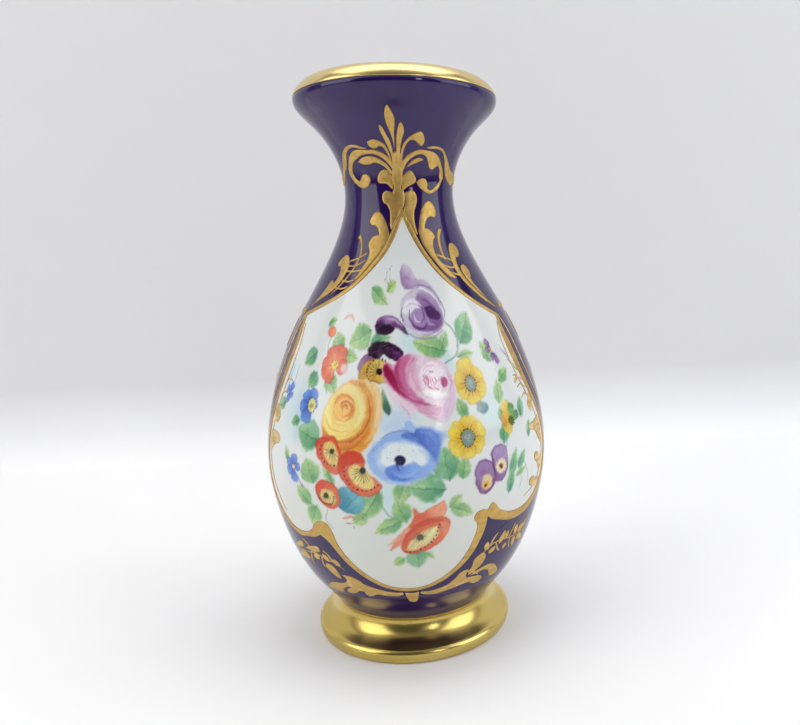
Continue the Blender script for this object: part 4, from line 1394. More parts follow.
# ---- pansy -----------------------------------------------------------------
begin("pansy")
PAN = (0.26, 0.07, 0.28)
fill([(-18.8, 102.0, 1), (-20.0, 105.0), (-18.4, 108.0), (-15.0, 109.4), (-12.6, 107.6), (-13.6, 104.6)],
     (0.52, 0.33, 0.55), soft=0.3, ang=1.2, rim=(0.25, 0.10, 0.25), rim_a=0.6)
fill([(-19.0, 100.2, 1), (-19.4, 103.6), (-17.0, 106.6), (-13.0, 107.6), (-8.6, 106.6), (-5.6, 104.2),
      (-6.4, 101.0), (-10.0, 100.0), (-14.0, 100.8), (-16.6, 99.6)], (0.88, 0.78, 0.36), soft=0.35,
     ang=0.9, to=((-8, 106), (-17, 100), (0.80, 0.62, 0.24)), rim=(0.35, 0.18, 0.14), rim_w=0.7, rim_a=0.6)
fill([(-15.8, 108.6), (-16.2, 110.8), (-13.0, 112.4), (-9.6, 112.6), (-5.6, 112.0), (-2.0, 110.2),
      (-1.0, 108.0), (-3.0, 106.6), (-6.0, 107.2), (-9.0, 108.6), (-12.0, 107.4)],
     PAN, soft=0.3, ang=0.3, to=((-4, 107), (-8, 112), (0.12, 0.02, 0.12)), rim=(0.1, 0.0, 0.1))
stroke([(-5.0, 109.4), (-3.2, 109.0), (-2.0, 108.2)], 0.3, 0.5, 0.2, (0.48, 0.28, 0.52), a=0.7)
stroke([(-14.4, 108.8), (-12.0, 109.8), (-9.6, 109.8)], 0.2, 0.4, 0.15, (0.42, 0.20, 0.44), a=0.6)
for k in range(7):
    v = math.radians(95 + 22 * k)
    stroke([(-11.0 + 1.2 * math.cos(v) / 0.9, 103.6 + 1.2 * math.sin(v)),
            (-11.0 + 3.4 * math.cos(v) / 0.9, 103.6 + 3.0 * math.sin(v))], 0.1, 0.13, 0.05, (0.22, 0.08, 0.06), a=0.7)
dots(arcs(-11.0, 103.6, 4.4, 60, 230, 12, 0.86), 0.26, (0.12, 0.03, 0.08))
fill(ring_pts(-10.8, 103.6, 1.25, 9, 0, 0.9), (0.10, 0.03, 0.06), soft=0.2)
dots([(-9.9, 104.6), (-11.9, 102.8)], 0.3, (0.55, 0.30, 0.10), a=0.8)

# ---- red flower, upper left -------------------------------------------------
begin("red_flower")
RED, RED_L, RED_D = (0.86, 0.35, 0.22), (0.93, 0.52, 0.34), (0.70, 0.16, 0.10)
for deg, r in ((60, 6.2), (118, 6.0), (188, 5.8), (235, 6.2), (-12, 5.2)):
    petal(-31.0, 105.6, r, r * 0.98, deg, RED_L, RED, RED_D)
fill(ring_pts(-26.2, 104.4, 1.6, 8, 0), (0.92, 0.80, 0.78), soft=0.4, rim=(0.88, 0.45, 0.36), rim_w=0.6)
for k in range(6):
    v = math.radians(40 + 55 * k)
    stroke([(-31.0, 105.6), (-31.0 + 3.6 * math.cos(v) / 0.9, 105.6 + 3.6 * math.sin(v))], 0.25, 0.3, 0.08,
           (0.95, 0.62, 0.46), a=0.6, soft=0.2)
fill(ring_pts(-30.8, 105.4, 1.5, 9, 0), (0.92, 0.80, 0.40), soft=0.35)
dots(ring_pts(-30.8, 105.4, 1.5, 8, 10), 0.2, (0.60, 0.22, 0.10))
dots([(-30.8, 105.4), (-30.2, 105.9)], 0.25, (0.45, 0.40, 0.15))
begin("red_bud")
fill([(-39.0, 115.6), (-37.0, 117.0), (-34.4, 116.4), (-34.2, 114.6), (-36.6, 113.8)], RED_L, soft=0.35,
     rim=RED_D, rim_a=0.5, ang=0.4)
stroke([(-31.0, 119.6), (-28.6, 120.6), (-26.0, 119.8), (-25.4, 118.8)], 0.25, 0.5, 0.2, (0.92, 0.62, 0.50), a=0.7)

# ---- pink rose ---------------------------------------------------------------
begin("pink_rose")
PK, PK_D, PK_L = (0.86, 0.58, 0.70), (0.60, 0.12, 0.34), (0.94, 0.83, 0.88)
fill([(-9.6, 104.6), (-7.6, 106.4), (-4.8, 105.6), (-1.6, 108.0), (3.0, 108.6), (9.0, 107.6), (14.4, 106.2),
      (17.8, 102.8), (19.2, 97.6), (17.6, 91.6), (14.0, 87.8), (9.8, 88.4), (4.6, 91.2), (-0.6, 94.2),
      (-5.0, 97.4), (-8.6, 100.8)], (0.93, 0.84, 0.89), soft=0.65, to=((12, 100), (-6, 102), (0.83, 0.58, 0.70)),
     ang=0.8, rim=(0.84, 0.66, 0.76), rim_w=1.0, rim_a=0.4)
fill([(-9.4, 104.6), (-7.4, 106.0), (-5.2, 104.0), (-3.4, 106.4), (0.0, 108.2), (3.6, 107.4), (1.4, 104.2),
      (1.2, 100.0), (3.6, 96.0), (7.4, 93.4), (2.4, 93.6), (-3.0, 96.6), (-7.4, 100.4)], (0.73, 0.31, 0.50), soft=0.5,
     to=((-7, 103), (4, 100), (0.83, 0.52, 0.67)), ang=1.9)
fill([(-9.2, 104.4), (-7.6, 105.4), (-5.8, 103.4), (-4.4, 102.2), (-3.2, 99.0), (-1.0, 96.8), (2.4, 94.4, 1),
      (-2.6, 96.6), (-6.6, 100.0)], (0.55, 0.07, 0.23), soft=0.45, ang=2.2, to=((-8, 104), (0, 96), (0.66, 0.18, 0.38)))
stroke([(-2.6, 107.2), (-3.8, 103.6), (-2.6, 99.8), (0.6, 96.4)], 0.3, 0.7, 0.3, (0.62, 0.14, 0.34), a=0.65, soft=0.35, streak=0.6)
stroke([(0.2, 107.8), (-1.6, 103.8), (-0.6, 99.6), (2.8, 96.0), (8.0, 93.2)], 0.4, 0.9, 0.4, (0.76, 0.40, 0.58), a=0.7, soft=0.4, streak=0.7)
stroke([(2.4, 107.8), (0.4, 103.8), (1.4, 99.4), (4.8, 95.8)], 0.3, 0.8, 0.3, (0.91, 0.75, 0.83), a=0.75, soft=0.4, streak=0.8)
stroke([(4.6, 107.4), (2.6, 103.8), (3.4, 99.6), (6.4, 96.4)], 0.2, 0.5, 0.2, (0.80, 0.50, 0.66), a=0.55, soft=0.35, streak=0.7)
stroke([(7.4, 107.6), (5.0, 104.4), (5.0, 100.8)], 0.4, 1.0, 0.4, (0.93, 0.85, 0.90), a=0.8, soft=0.45, streak=0.7)
stroke([(9.0, 107.0), (13.6, 105.6), (17.0, 102.0), (18.2, 97.8)], 0.3, 0.8, 0.3, (0.84, 0.70, 0.80), a=0.65, soft=0.45, streak=0.7)
fill([(6.2, 104.4), (10.2, 105.8), (14.4, 104.6), (16.8, 101.4), (16.6, 97.8), (13.6, 95.4), (9.2, 95.2),
      (6.2, 97.8), (5.2, 101.2)], (0.95, 0.90, 0.93), soft=0.65, ang=0.6)
stroke([(6.6, 103.4), (8.6, 104.8), (12.0, 104.6)], 0.12, 0.3, 0.1, (0.86, 0.66, 0.76), a=0.6, soft=0.2)
stroke([(16.4, 102.4), (17.6, 99.4), (16.6, 96.6)], 0.15, 0.4, 0.15, (0.78, 0.54, 0.68), a=0.6, soft=0.3, streak=0.6)
for k, (x0, z0, x1, z1) in enumerate(((6.4, 102.4, 7.0, 100.2), (7.2, 102.2, 7.8, 99.6), (8.0, 101.8, 8.4, 98.8),
                                      (8.8, 101.8, 9.4, 98.6), (9.8, 101.4, 10.6, 98.4), (11.0, 101.2, 11.6, 98.8),
                                      (7.0, 99.8, 8.8, 98.0), (8.4, 98.4, 10.4, 97.4), (10.4, 98.2, 12.4, 97.2),
                                      (12.4, 101.6, 12.8, 99.6), (9.0, 103.0, 11.0, 102.8), (6.4, 100.8, 7.2, 98.8))):
    stroke([(x0, z0), ((x0 + x1) / 2 + 0.3, (z0 + z1) / 2), (x1, z1)], 0.08, 0.22, 0.07,
           (0.68, 0.17, 0.36) if k % 3 else (0.80, 0.44, 0.58), a=0.75, soft=0.14, streak=0.5)
fill(ring_pts(14.9, 99.6, 1.25, 9, 0, 1.35), (0.72, 0.32, 0.50), soft=0.4, a=0.85, rim=(0.60, 0.16, 0.36), rim_a=0.4)
stroke([(13.6, 101.4), (14.2, 99.4), (13.8, 97.8)], 0.1, 0.28, 0.08, (0.64, 0.20, 0.40), a=0.65, soft=0.16)
fill([(5.8, 97.2), (8.8, 95.4), (13.2, 94.8), (15.4, 95.8), (13.0, 97.0), (9.0, 97.6)], (0.99, 0.98, 0.98), soft=0.45, a=0.9)
stroke([(-0.6, 95.6), (4.0, 92.8), (9.0, 91.2), (14.0, 91.2)], 0.4, 1.35, 0.7, (0.77, 0.46, 0.63), a=0.75, soft=0.5, streak=0.8)
stroke([(1.0, 95.4), (5.4, 93.6), (10.4, 92.6)], 0.1, 0.35, 0.1, (0.60, 0.20, 0.42), a=0.7, soft=0.22, streak=0.6)
stroke([(5.0, 90.8), (9.6, 89.4), (13.2, 89.6)], 0.3, 0.8, 0.4, (0.84, 0.62, 0.74), a=0.7, soft=0.4, streak=0.8)
stroke([(6.6, 94.4), (11.0, 93.4), (15.6, 93.8)], 0.3, 0.7, 0.3, (0.93, 0.86, 0.91), a=0.75, soft=0.35, streak=0.7)
fill([(13.6, 93.0), (16.0, 96.0), (18.2, 99.0), (18.8, 95.0), (16.8, 90.8), (13.8, 88.4), (12.0, 90.0)],
     (0.88, 0.78, 0.87), soft=0.6, a=0.85, ang=1.1)
fill([(-8.2, 99.8), (-4.6, 97.2), (0.4, 94.4), (3.6, 92.0), (1.6, 90.4), (-2.0, 92.2), (-5.8, 95.4)],
     (0.92, 0.82, 0.87), soft=0.6, a=0.75)
stroke([(-2.8, 94.2), (-0.6, 92.0), (0.4, 89.4)], 0.08, 0.2, 0.06, (0.84, 0.52, 0.64), a=0.65, soft=0.15)

# ---- orange rose ---------------------------------------------------------------
begin("orange_rose")
OR, OR_D, YE = (0.90, 0.60, 0.28), (0.80, 0.38, 0.14), (0.94, 0.83, 0.36)
fill([(-31.6, 94.0), (-28.4, 98.0), (-23.4, 100.6), (-17.6, 101.2), (-12.4, 100.2), (-9.8, 96.0), (-9.4, 91.0),
      (-11.2, 86.0), (-14.8, 81.0), (-18.8, 78.4), (-24.0, 78.0), (-29.4, 80.0), (-32.8, 84.4), (-33.2, 89.6)],
     (0.94, 0.79, 0.53), soft=0.6, to=((-12, 95), (-23, 79), (0.91, 0.62, 0.30)), ang=1.4,
     rim=(0.88, 0.58, 0.28), rim_w=0.8, rim_a=0.35)
fill([(-32.0, 93.0), (-28.6, 97.2), (-23.6, 99.4), (-18.6, 98.6), (-15.8, 95.0), (-15.4, 90.0), (-17.8, 85.6),
      (-22.6, 83.0), (-28.2, 83.0), (-32.2, 86.2), (-33.0, 89.8)], (0.95, 0.87, 0.46), soft=0.6,
     to=((-31, 87), (-17, 95), (0.94, 0.86, 0.58)))
fill([(-32.2, 86.4), (-28.4, 82.4), (-22.8, 81.0), (-17.4, 83.0), (-14.2, 86.6), (-13.4, 83.0), (-17.8, 79.2),
      (-24.0, 78.4), (-29.6, 80.2), (-32.4, 83.6)], (0.89, 0.58, 0.23), soft=0.5, a=0.85, ang=0.3)
stroke([(-22.6, 100.4), (-17.6, 99.4), (-14.4, 95.6), (-14.0, 90.2), (-16.4, 85.4), (-21.4, 82.2), (-27.4, 81.9),
        (-31.6, 84.4)], 0.5, 1.45, 0.8, (0.85, 0.49, 0.19), a=0.85, soft=0.4, streak=0.8)
stroke([(-19.6, 98.8), (-16.4, 96.2), (-15.4, 91.6), (-17.6, 87.2), (-22.0, 84.4), (-28.0, 84.0)], 0.15, 0.45, 0.15,
       (0.94, 0.74, 0.34), a=0.75, soft=0.3, streak=0.6)
stroke([(-15.0, 96.2), (-13.8, 91.0), (-16.2, 85.8), (-21.6, 82.4), (-28.0, 82.6)], 0.1, 0.38, 0.12,
       (0.70, 0.31, 0.08), a=0.75, soft=0.22, streak=0.6)
stroke([(-14.6, 85.4), (-19.6, 81.0), (-25.6, 80.0), (-30.0, 81.6)], 0.1, 0.42, 0.12, (0.76, 0.38, 0.12), a=0.7,
       soft=0.25, streak=0.6)
stroke([(-16.4, 101.0), (-11.8, 98.8), (-10.2, 93.0), (-11.6, 87.0), (-15.4, 82.0)], 0.3, 0.95, 0.3,
       (0.96, 0.86, 0.67), a=0.75, soft=0.4, streak=0.7)
stroke([(-12.8, 98.0), (-12.0, 92.6), (-13.4, 87.2)], 0.12, 0.4, 0.12, (0.90, 0.62, 0.32), a=0.6, soft=0.28, streak=0.7)
fill([(-28.8, 95.2), (-26.2, 97.0), (-22.2, 96.8), (-19.8, 93.8), (-20.6, 90.4), (-23.8, 88.4), (-27.4, 89.0),
      (-29.4, 92.0)], (0.94, 0.74, 0.36), soft=0.6, ang=0.8)
for k, (cx, cz, r, a0, a1, w, c) in enumerate((
        (-24.4, 92.6, 4.1, 25, 175, 0.62, (0.83, 0.41, 0.15)), (-24.4, 92.4, 3.9, -75, 30, 0.5, (0.86, 0.47, 0.18)),
        (-24.2, 92.8, 3.1, 60, 200, 0.34, (0.92, 0.64, 0.28)), (-24.0, 92.6, 2.8, -100, 60, 0.5, (0.80, 0.34, 0.11)),
        (-23.8, 92.6, 2.0, 20, 190, 0.42, (0.78, 0.30, 0.09)), (-24.0, 92.0, 1.9, 200, 330, 0.3, (0.93, 0.70, 0.34)),
        (-23.8, 92.4, 1.0, 0, 220, 0.4, (0.74, 0.27, 0.08)), (-24.8, 91.6, 3.4, 180, 290, 0.34, (0.90, 0.60, 0.25)),
        (-24.6, 91.2, 4.4, 190, 300, 0.3, (0.93, 0.72, 0.32)))):
    stroke(arcs(cx, cz, (r, r * 0.9), a0, a1, 7, 0.95), 0.12, w, 0.1, c, a=0.8, soft=0.24, streak=0.6)
stroke([(-31.4, 94.0), (-31.4, 90.4), (-29.4, 87.2)], 0.3, 0.8, 0.3, (0.97, 0.93, 0.62), a=0.8, soft=0.35, streak=0.5)
stroke([(-32.0, 90.0), (-30.0, 86.8), (-26.0, 85.2), (-22.0, 85.6)], 0.12, 0.34, 0.1, (0.91, 0.67, 0.27), a=0.7, soft=0.22)
stroke([(-19.4, 96.6), (-17.2, 93.4), (-17.2, 89.6), (-19.6, 87.0)], 0.3, 0.8, 0.3, (0.95, 0.92, 0.66), a=0.75, soft=0.35, streak=0.6)
dots([(-18.2, 84.6), (-25.8, 80.8)], 0.3, (0.55, 0.20, 0.06), a=0.6)

# ---- blue rose -------------------------------------------------------------------
begin("blue_rose")
BL, BL_D, BL_L = (0.40, 0.56, 0.86), (0.22, 0.36, 0.74), (0.68, 0.79, 0.92)
wash(-5.0, 87.0, 6.0, 3.4, (0.74, 0.83, 0.93), 0.6)
fill([(-14.6, 78.6), (-11.6, 82.4), (-6.5, 84.8), (-1.6, 86.6), (3.6, 86.8), (8.8, 86.2), (12.4, 83.6), (11.0, 79.6),
      (9.8, 75.4), (5.8, 71.4), (-0.6, 69.6), (-6.8, 69.6), (-11.6, 72.2), (-14.2, 75.4)], (0.66, 0.78, 0.94), soft=0.75,
     to=((-12, 81), (6, 73), (0.55, 0.68, 0.91)), ang=0.5, rim=(0.50, 0.64, 0.88), rim_w=0.8, rim_a=0.25)
fill([(-2.6, 84.4), (2.0, 86.0), (7.4, 85.6), (11.0, 83.2), (10.6, 79.2), (8.8, 75.4), (6.8, 78.6), (3.6, 81.6),
      (0.0, 83.0)], (0.42, 0.54, 0.84), soft=0.6, ang=0.5, to=((9, 84), (2, 83), (0.31, 0.42, 0.76)))
fill([(-1.2, 87.6), (0.2, 88.6), (2.0, 87.4), (2.2, 85.4), (0.0, 85.2)], (0.64, 0.77, 0.93), soft=0.35,
     rim=(0.40, 0.54, 0.84), rim_w=0.5, rim_a=0.5)
stroke([(4.4, 85.2), (7.8, 84.2), (10.0, 81.2)], 0.2, 0.6, 0.2, (0.56, 0.69, 0.91), a=0.7, soft=0.35, streak=0.8)
stroke([(11.0, 84.6), (12.6, 84.4), (13.6, 82.8)], 0.4, 0.8, 0.3, (0.62, 0.76, 0.94), a=0.7, soft=0.4)
stroke([(-12.4, 80.2), (-8.0, 83.2), (-2.4, 84.2), (2.6, 82.8)], 0.4, 1.0, 0.4, (0.50, 0.64, 0.89), a=0.75, soft=0.4, streak=0.8)
stroke([(-10.0, 83.6), (-4.8, 85.6), (1.0, 85.6)], 0.1, 0.3, 0.1, (0.30, 0.44, 0.78), a=0.6, soft=0.2, streak=0.6)
fill([(-10.0, 79.0), (-7.0, 81.8), (-2.0, 82.4), (3.0, 81.2), (6.4, 78.4), (5.8, 75.2), (1.8, 74.4), (-2.4, 75.2),
      (-6.6, 74.4), (-9.8, 76.0)], (0.91, 0.94, 0.94), soft=0.7, rim=(0.78, 0.87, 0.95), rim_w=1.0, rim_a=0.5)
stroke([(-12.4, 80.6), (-13.4, 77.4), (-12.0, 73.8), (-8.2, 71.2)], 0.5, 1.2, 0.5, (0.53, 0.67, 0.90), a=0.75, soft=0.45, streak=0.8)
stroke([(-10.6, 79.6), (-10.8, 76.4), (-9.0, 73.8)], 0.15, 0.4, 0.15, (0.76, 0.85, 0.95), a=0.75, soft=0.3, streak=0.5)
fill([(-8.4, 74.2), (-5.4, 75.6), (-1.8, 75.2), (1.2, 76.0), (3.6, 74.4), (2.6, 71.6), (-1.4, 70.0), (-5.8, 70.4),
      (-8.4, 72.2)], (0.35, 0.51, 0.85), soft=0.5, to=((-6, 73), (3, 73), (0.52, 0.67, 0.92)), ang=0.3)
stroke([(-5.8, 73.4), (-3.0, 71.8), (0.6, 72.2), (2.6, 73.8)], 0.2, 0.45, 0.15, (0.66, 0.78, 0.94), a=0.7, soft=0.28, streak=0.7)
stroke([(-6.8, 72.2), (-3.0, 70.8), (1.0, 71.0)], 0.12, 0.3, 0.1, (0.22, 0.36, 0.74), a=0.6, soft=0.2, streak=0.6)
stroke([(3.4, 79.8), (6.8, 77.2), (8.0, 73.6), (5.0, 71.0)], 0.4, 1.2, 0.5, (0.60, 0.73, 0.92), a=0.75, soft=0.5, streak=0.8)
stroke([(5.6, 80.4), (8.8, 77.4), (9.4, 74.0)], 0.15, 0.45, 0.15, (0.36, 0.50, 0.82), a=0.6, soft=0.3, streak=0.7)
stroke([(-7.0, 70.4), (-1.0, 69.2), (5.0, 70.8)], 0.3, 0.7, 0.3, (0.72, 0.83, 0.95), a=0.7, soft=0.4, streak=0.7)
fill([(-5.2, 77.0), (-4.4, 78.2), (-2.4, 78.0), (-1.4, 76.6), (-2.6, 75.2), (-4.2, 75.4)], (0.07, 0.08, 0.24), soft=0.28)
stroke([(-4.6, 76.0), (-4.2, 74.6), (-3.4, 73.4)], 0.2, 0.3, 0.1, (0.10, 0.14, 0.40), a=0.8)
dots([(-6.6, 79.4), (-3.4, 79.8), (-0.8, 78.6), (1.4, 79.6), (-7.8, 77.8)], 0.17, (0.40, 0.50, 0.74), a=0.6)

# ---- yellow flowers ---------------------------------------------------------------
YL, YL_D, YC = (0.93, 0.83, 0.32), (0.87, 0.66, 0.16), (0.50, 0.58, 0.54)
begin("yellow_flower_upper")
for deg, r in ((100, 8.2), (38, 6.4), (-22, 6.6), (-84, 6.4), (-150, 6.0), (160, 6.4)):
    petal(26.0, 98.2, r, r * 0.92, deg, YL_D, YL, (0.78, 0.55, 0.12))
for deg in range(0, 360, 24):
    v = math.radians(deg + 5)
    stroke([(26.0 + 2.3 * math.cos(v) / 0.9, 98.2 + 2.3 * math.sin(v)),
            (26.0 + 4.2 * math.cos(v) / 0.9, 98.2 + 4.2 * math.sin(v))], 0.08, 0.11, 0.04, (0.50, 0.34, 0.08), a=0.6, soft=0.1)
fill(ring_pts(26.0, 98.2, 2.1, 10, 0, 1.15), YC, soft=0.3, core=(0.62, 0.72, 0.72), core_w=0.8)
dots(ring_pts(26.0, 98.2, 2.25, 17, 0, 1.15), 0.26, (0.12, 0.12, 0.10))
dots([(26.0, 98.6), (26.5, 97.6), (25.4, 97.8)], 0.18, (0.20, 0.24, 0.24), a=0.7)
begin("yellow_flower_lower")
for deg, r in ((80, 7.0), (25, 6.8), (-35, 6.6), (-92, 6.6), (-150, 7.2), (148, 7.0)):
    petal(21.6, 81.8, r, r * 0.94, deg, YL_D, YL, (0.78, 0.52, 0.12))
for deg in range(0, 360, 22):
    v = math.radians(deg)
    stroke([(21.6 + 2.4 * math.cos(v) / 0.9, 81.8 + 2.4 * math.sin(v)),
            (21.6 + 4.6 * math.cos(v) / 0.9, 81.8 + 4.6 * math.sin(v))], 0.08, 0.12, 0.04, (0.52, 0.34, 0.08), a=0.6, soft=0.1)
fill(ring_pts(21.6, 81.8, 2.4, 10, 0, 1.1), YC, soft=0.3, core=(0.60, 0.70, 0.72), core_w=0.9)
dots(ring_pts(21.6, 81.8, 2.55, 18, 0, 1.1), 0.27, (0.12, 0.12, 0.10))
dots([(21.6, 82.2), (22.2, 81.2), (21.0, 81.2), (21.7, 83.0)], 0.18, (0.20, 0.24, 0.26), a=0.7)
begin("yellow_flower_right")
for deg, r, w in ((115, 6.2, 0.8), (175, 5.0, 0.8), (235, 5.6, 0.8)):
    petal(43.0, 85.4, r, r * w, deg, YL_D, YL, (0.80, 0.50, 0.14))
fill([(38.4, 88.4, 1), (37.6, 85.0), (39.2, 82.0, 1), (40.2, 85.2)], (0.86, 0.54, 0.18), soft=0.4, a=0.7)
petal(42.6, 84.6, 5.6, 3.6, 72, (0.60, 0.74, 0.40), (0.34, 0.56, 0.32))
petal(42.8, 84.6, 4.8, 3.2, 22, (0.56, 0.72, 0.40), (0.30, 0.52, 0.32))
fill(ring_pts(43.0, 84.4, 1.4, 9, 0), (0.32, 0.42, 0.16), soft=0.3)
dots(ring_pts(43.0, 84.4, 1.5, 9, 0), 0.22, (0.14, 0.16, 0.08))
begin("grey_bud")
fill([(27.0, 92.0), (28.6, 92.6), (31.6, 91.4), (32.0, 89.4), (29.6, 88.6), (27.2, 89.6)], (0.56, 0.66, 0.68), soft=0.4,
     ang=0.6, to=((27, 92), (31, 89), (0.40, 0.54, 0.56)))

# ---- small violets, right -----------------------------------------------------------
begin("small_violet")
for deg, r in ((115, 4.4), (165, 3.0), (-62, 4.6), (-105, 3.2)):
    petal(41.2, 107.4, r, r * 0.55, deg, (0.46, 0.30, 0.54), (0.60, 0.46, 0.68), (0.26, 0.10, 0.30))
dots([(41.2, 107.4), (40.6, 108.0)], 0.35, (0.88, 0.76, 0.36))
stroke([(48.0, 108.0), (50.6, 105.0), (51.6, 102.0)], 0.15, 0.3, 0.1, (0.44, 0.36, 0.56), a=0.7)
begin("right_pansies")
PV = (0.60, 0.47, 0.68)
fill([(23.6, 70.6), (25.0, 73.4), (28.6, 73.8), (31.6, 72.0), (32.6, 68.0), (31.6, 64.8), (28.6, 62.6),
      (25.6, 63.4), (23.8, 66.4)], PV, soft=0.35, ang=0.9, to=((25, 73), (28, 63), (0.48, 0.30, 0.52)),
     rim=(0.32, 0.10, 0.30), rim_w=0.8, rim_a=0.65)
fill([(27.0, 68.6), (29.4, 69.0), (30.8, 66.8), (30.0, 64.4), (27.6, 64.0), (26.0, 65.8)], (0.90, 0.82, 0.60), soft=0.4, a=0.9)
fill(ring_pts(28.0, 65.6, 1.3, 9, 0), (0.88, 0.68, 0.26), soft=0.35)
dots([(28.1, 65.6), (27.7, 65.4)], 0.5, (0.40, 0.14, 0.08))
fill([(30.6, 75.4), (33.0, 77.6), (36.6, 77.6), (38.6, 75.2), (38.8, 71.0), (37.8, 67.6), (35.2, 65.6),
      (32.4, 66.2), (31.6, 69.6), (31.6, 72.4)], (0.64, 0.52, 0.72), soft=0.35, ang=1.2,
     to=((36, 77), (34, 67), (0.50, 0.34, 0.58)), rim=(0.34, 0.14, 0.36), rim_w=0.7, rim_a=0.6)
fill(ring_pts(35.2, 70.6, 2.5, 10, 0), (0.93, 0.88, 0.74), soft=0.4, core=(0.90, 0.70, 0.30), core_w=1.0)
dots(ring_pts(35.2, 70.6, 2.3, 11, 0), 0.16, (0.46, 0.30, 0.40), a=0.6)
dots([(35.2, 70.6), (35.5, 70.2), (34.9, 70.9)], 0.55, (0.42, 0.14, 0.06))
stroke([(31.2, 75.0), (31.4, 71.6), (32.0, 68.6)], 0.2, 0.4, 0.15, (0.24, 0.06, 0.24), a=0.7)

# ---- blue flowers, left --------------------------------------------------------------
FB, FB_D = (0.40, 0.56, 0.86), (0.22, 0.38, 0.76)
begin("blue_flower")
for deg, r in ((70, 5.2), (130, 5.0), (-165, 5.0), (-105, 6.0), (10, 3.6)):
    petal(-40.4, 92.8, r, r * 0.9, deg, FB_D, FB, (0.18, 0.30, 0.66))
fill(ring_pts(-39.2, 92.6, 1.8, 9, 0, 1.2), (0.88, 0.82, 0.50), soft=0.3)
dots(ring_pts(-39.2, 92.6, 1.9, 13, 0, 1.25), 0.24, (0.12, 0.12, 0.12))
fill(ring_pts(-39.4, 92.4, 0.8, 7, 0), (0.55, 0.62, 0.26), soft=0.25)
begin("blue_bud")
for deg, r in ((60, 3.4), (150, 3.0), (-110, 3.4), (-30, 2.6)):
    petal(-54.6, 95.6, r, r * 0.85, deg, FB_D, FB, (0.18, 0.30, 0.66))
begin("blue_flower_low")
for deg, r in ((80, 4.4), (150, 4.0), (-150, 4.0), (-85, 4.8), (10, 3.4)):
    petal(-47.2, 72.0, r, r * 0.85, deg, FB_D, FB, (0.18, 0.30, 0.66))
fill(ring_pts(-47.0, 72.2, 0.9, 7, 0), (0.90, 0.82, 0.50), soft=0.25)
dots(ring_pts(-47.0, 72.2, 0.9, 6, 0), 0.18, (0.15, 0.20, 0.40))
stroke([(-44.6, 68.6), (-42.8, 66.4), (-42.8, 65.6)], 0.2, 0.45, 0.15, (0.42, 0.52, 0.62), a=0.7)

# ---- red and yellow cups ---------------------------------------------------------------
CUP = (0.90, 0.84, 0.52)


def cup(phi, z, outer, inner, root, fan, n, arc_r, red=(0.84, 0.27, 0.14)):
    """Open cup: a red rim of petal, a pale throat, stamens and a row of dots."""
    fill(outer, red, soft=0.35, ang=0.8, rim=(0.62, 0.12, 0.06), rim_w=0.6, rim_a=0.5,
         to=(outer[0][:2], outer[len(outer) // 2][:2], (0.90, 0.42, 0.26)))
    fill(inner, CUP, soft=0.35, ang=1.1, rim=(0.85, 0.52, 0.24), rim_w=0.7, rim_a=0.5)
    for k in range(n):
        v = math.radians(fan[0] + (fan[1] - fan[0]) * k / (n - 1))
        stroke([root, (root[0] + 0.62 * arc_r * math.cos(v) / 0.9, root[1] + 0.62 * arc_r * math.sin(v))],
               0.09, 0.12, 0.05, (0.16, 0.16, 0.06), a=0.7, soft=0.1)
    dots(arcs(root[0], root[1], arc_r, fan[0] - 12, fan[1] + 12, n + 4), 0.27, (0.10, 0.10, 0.05))
    fill(ring_pts(root[0], root[1], 0.9, 8, 0), (0.14, 0.18, 0.08), soft=0.25)


begin("cup_flower_left")
cup(-30, 78, [(-33.4, 83.0), (-28.0, 83.8), (-25.4, 80.6), (-24.4, 76.0), (-25.0, 72.4), (-28.6, 72.0),
              (-32.0, 74.4), (-34.6, 77.4), (-35.6, 81.0)],
    [(-31.4, 81.6), (-28.0, 82.2), (-26.0, 79.0), (-25.6, 75.6), (-27.4, 74.2), (-30.4, 76.0), (-31.8, 78.6)],
    (-28.2, 79.2), (175, 320), 7, 4.6)
begin("cup_flower_mid")
cup(-18, 72, [(-25.4, 77.2), (-22.4, 79.6), (-18.0, 79.4), (-15.6, 76.4), (-15.8, 73.4), (-12.0, 71.0),
              (-9.8, 68.6), (-12.4, 66.0), (-17.0, 65.4), (-21.4, 67.4), (-24.8, 71.0), (-26.0, 74.4)],
    [(-21.6, 74.6), (-18.4, 75.6), (-15.8, 73.6), (-12.6, 70.6), (-13.0, 68.2), (-16.8, 67.8), (-20.4, 69.8), (-21.8, 72.4)],
    (-16.4, 73.6), (170, 305), 9, 6.4)
fill([(-24.8, 76.8), (-21.8, 79.0), (-18.2, 78.8), (-16.2, 76.4), (-19.0, 75.8), (-22.4, 75.0), (-24.0, 73.2)],
     (0.80, 0.22, 0.12), soft=0.4, ang=0.5, a=0.8)
begin("cup_flower_low")
cup(-31, 64, [(-36.0, 66.4), (-33.6, 69.4), (-29.2, 69.2), (-26.0, 66.6), (-25.6, 62.6), (-28.0, 60.6),
              (-31.6, 60.6), (-34.6, 62.6)],
    [(-34.0, 64.4), (-32.2, 66.8), (-28.4, 66.2), (-27.2, 63.4), (-29.2, 61.8), (-32.4, 62.2)],
    (-31.4, 64.6), (200, 345), 8, 3.0)
stroke([(-25.2, 57.4), (-22.6, 58.2), (-20.4, 57.6)], 0.2, 0.4, 0.15, (0.86, 0.40, 0.28), a=0.7)
stroke([(-24.4, 55.8), (-22.2, 55.6)], 0.15, 0.3, 0.1, (0.70, 0.30, 0.22), a=0.6)
dots([(-21.6, 54.6)], 0.2, (0.3, 0.2, 0.2), a=0.6)

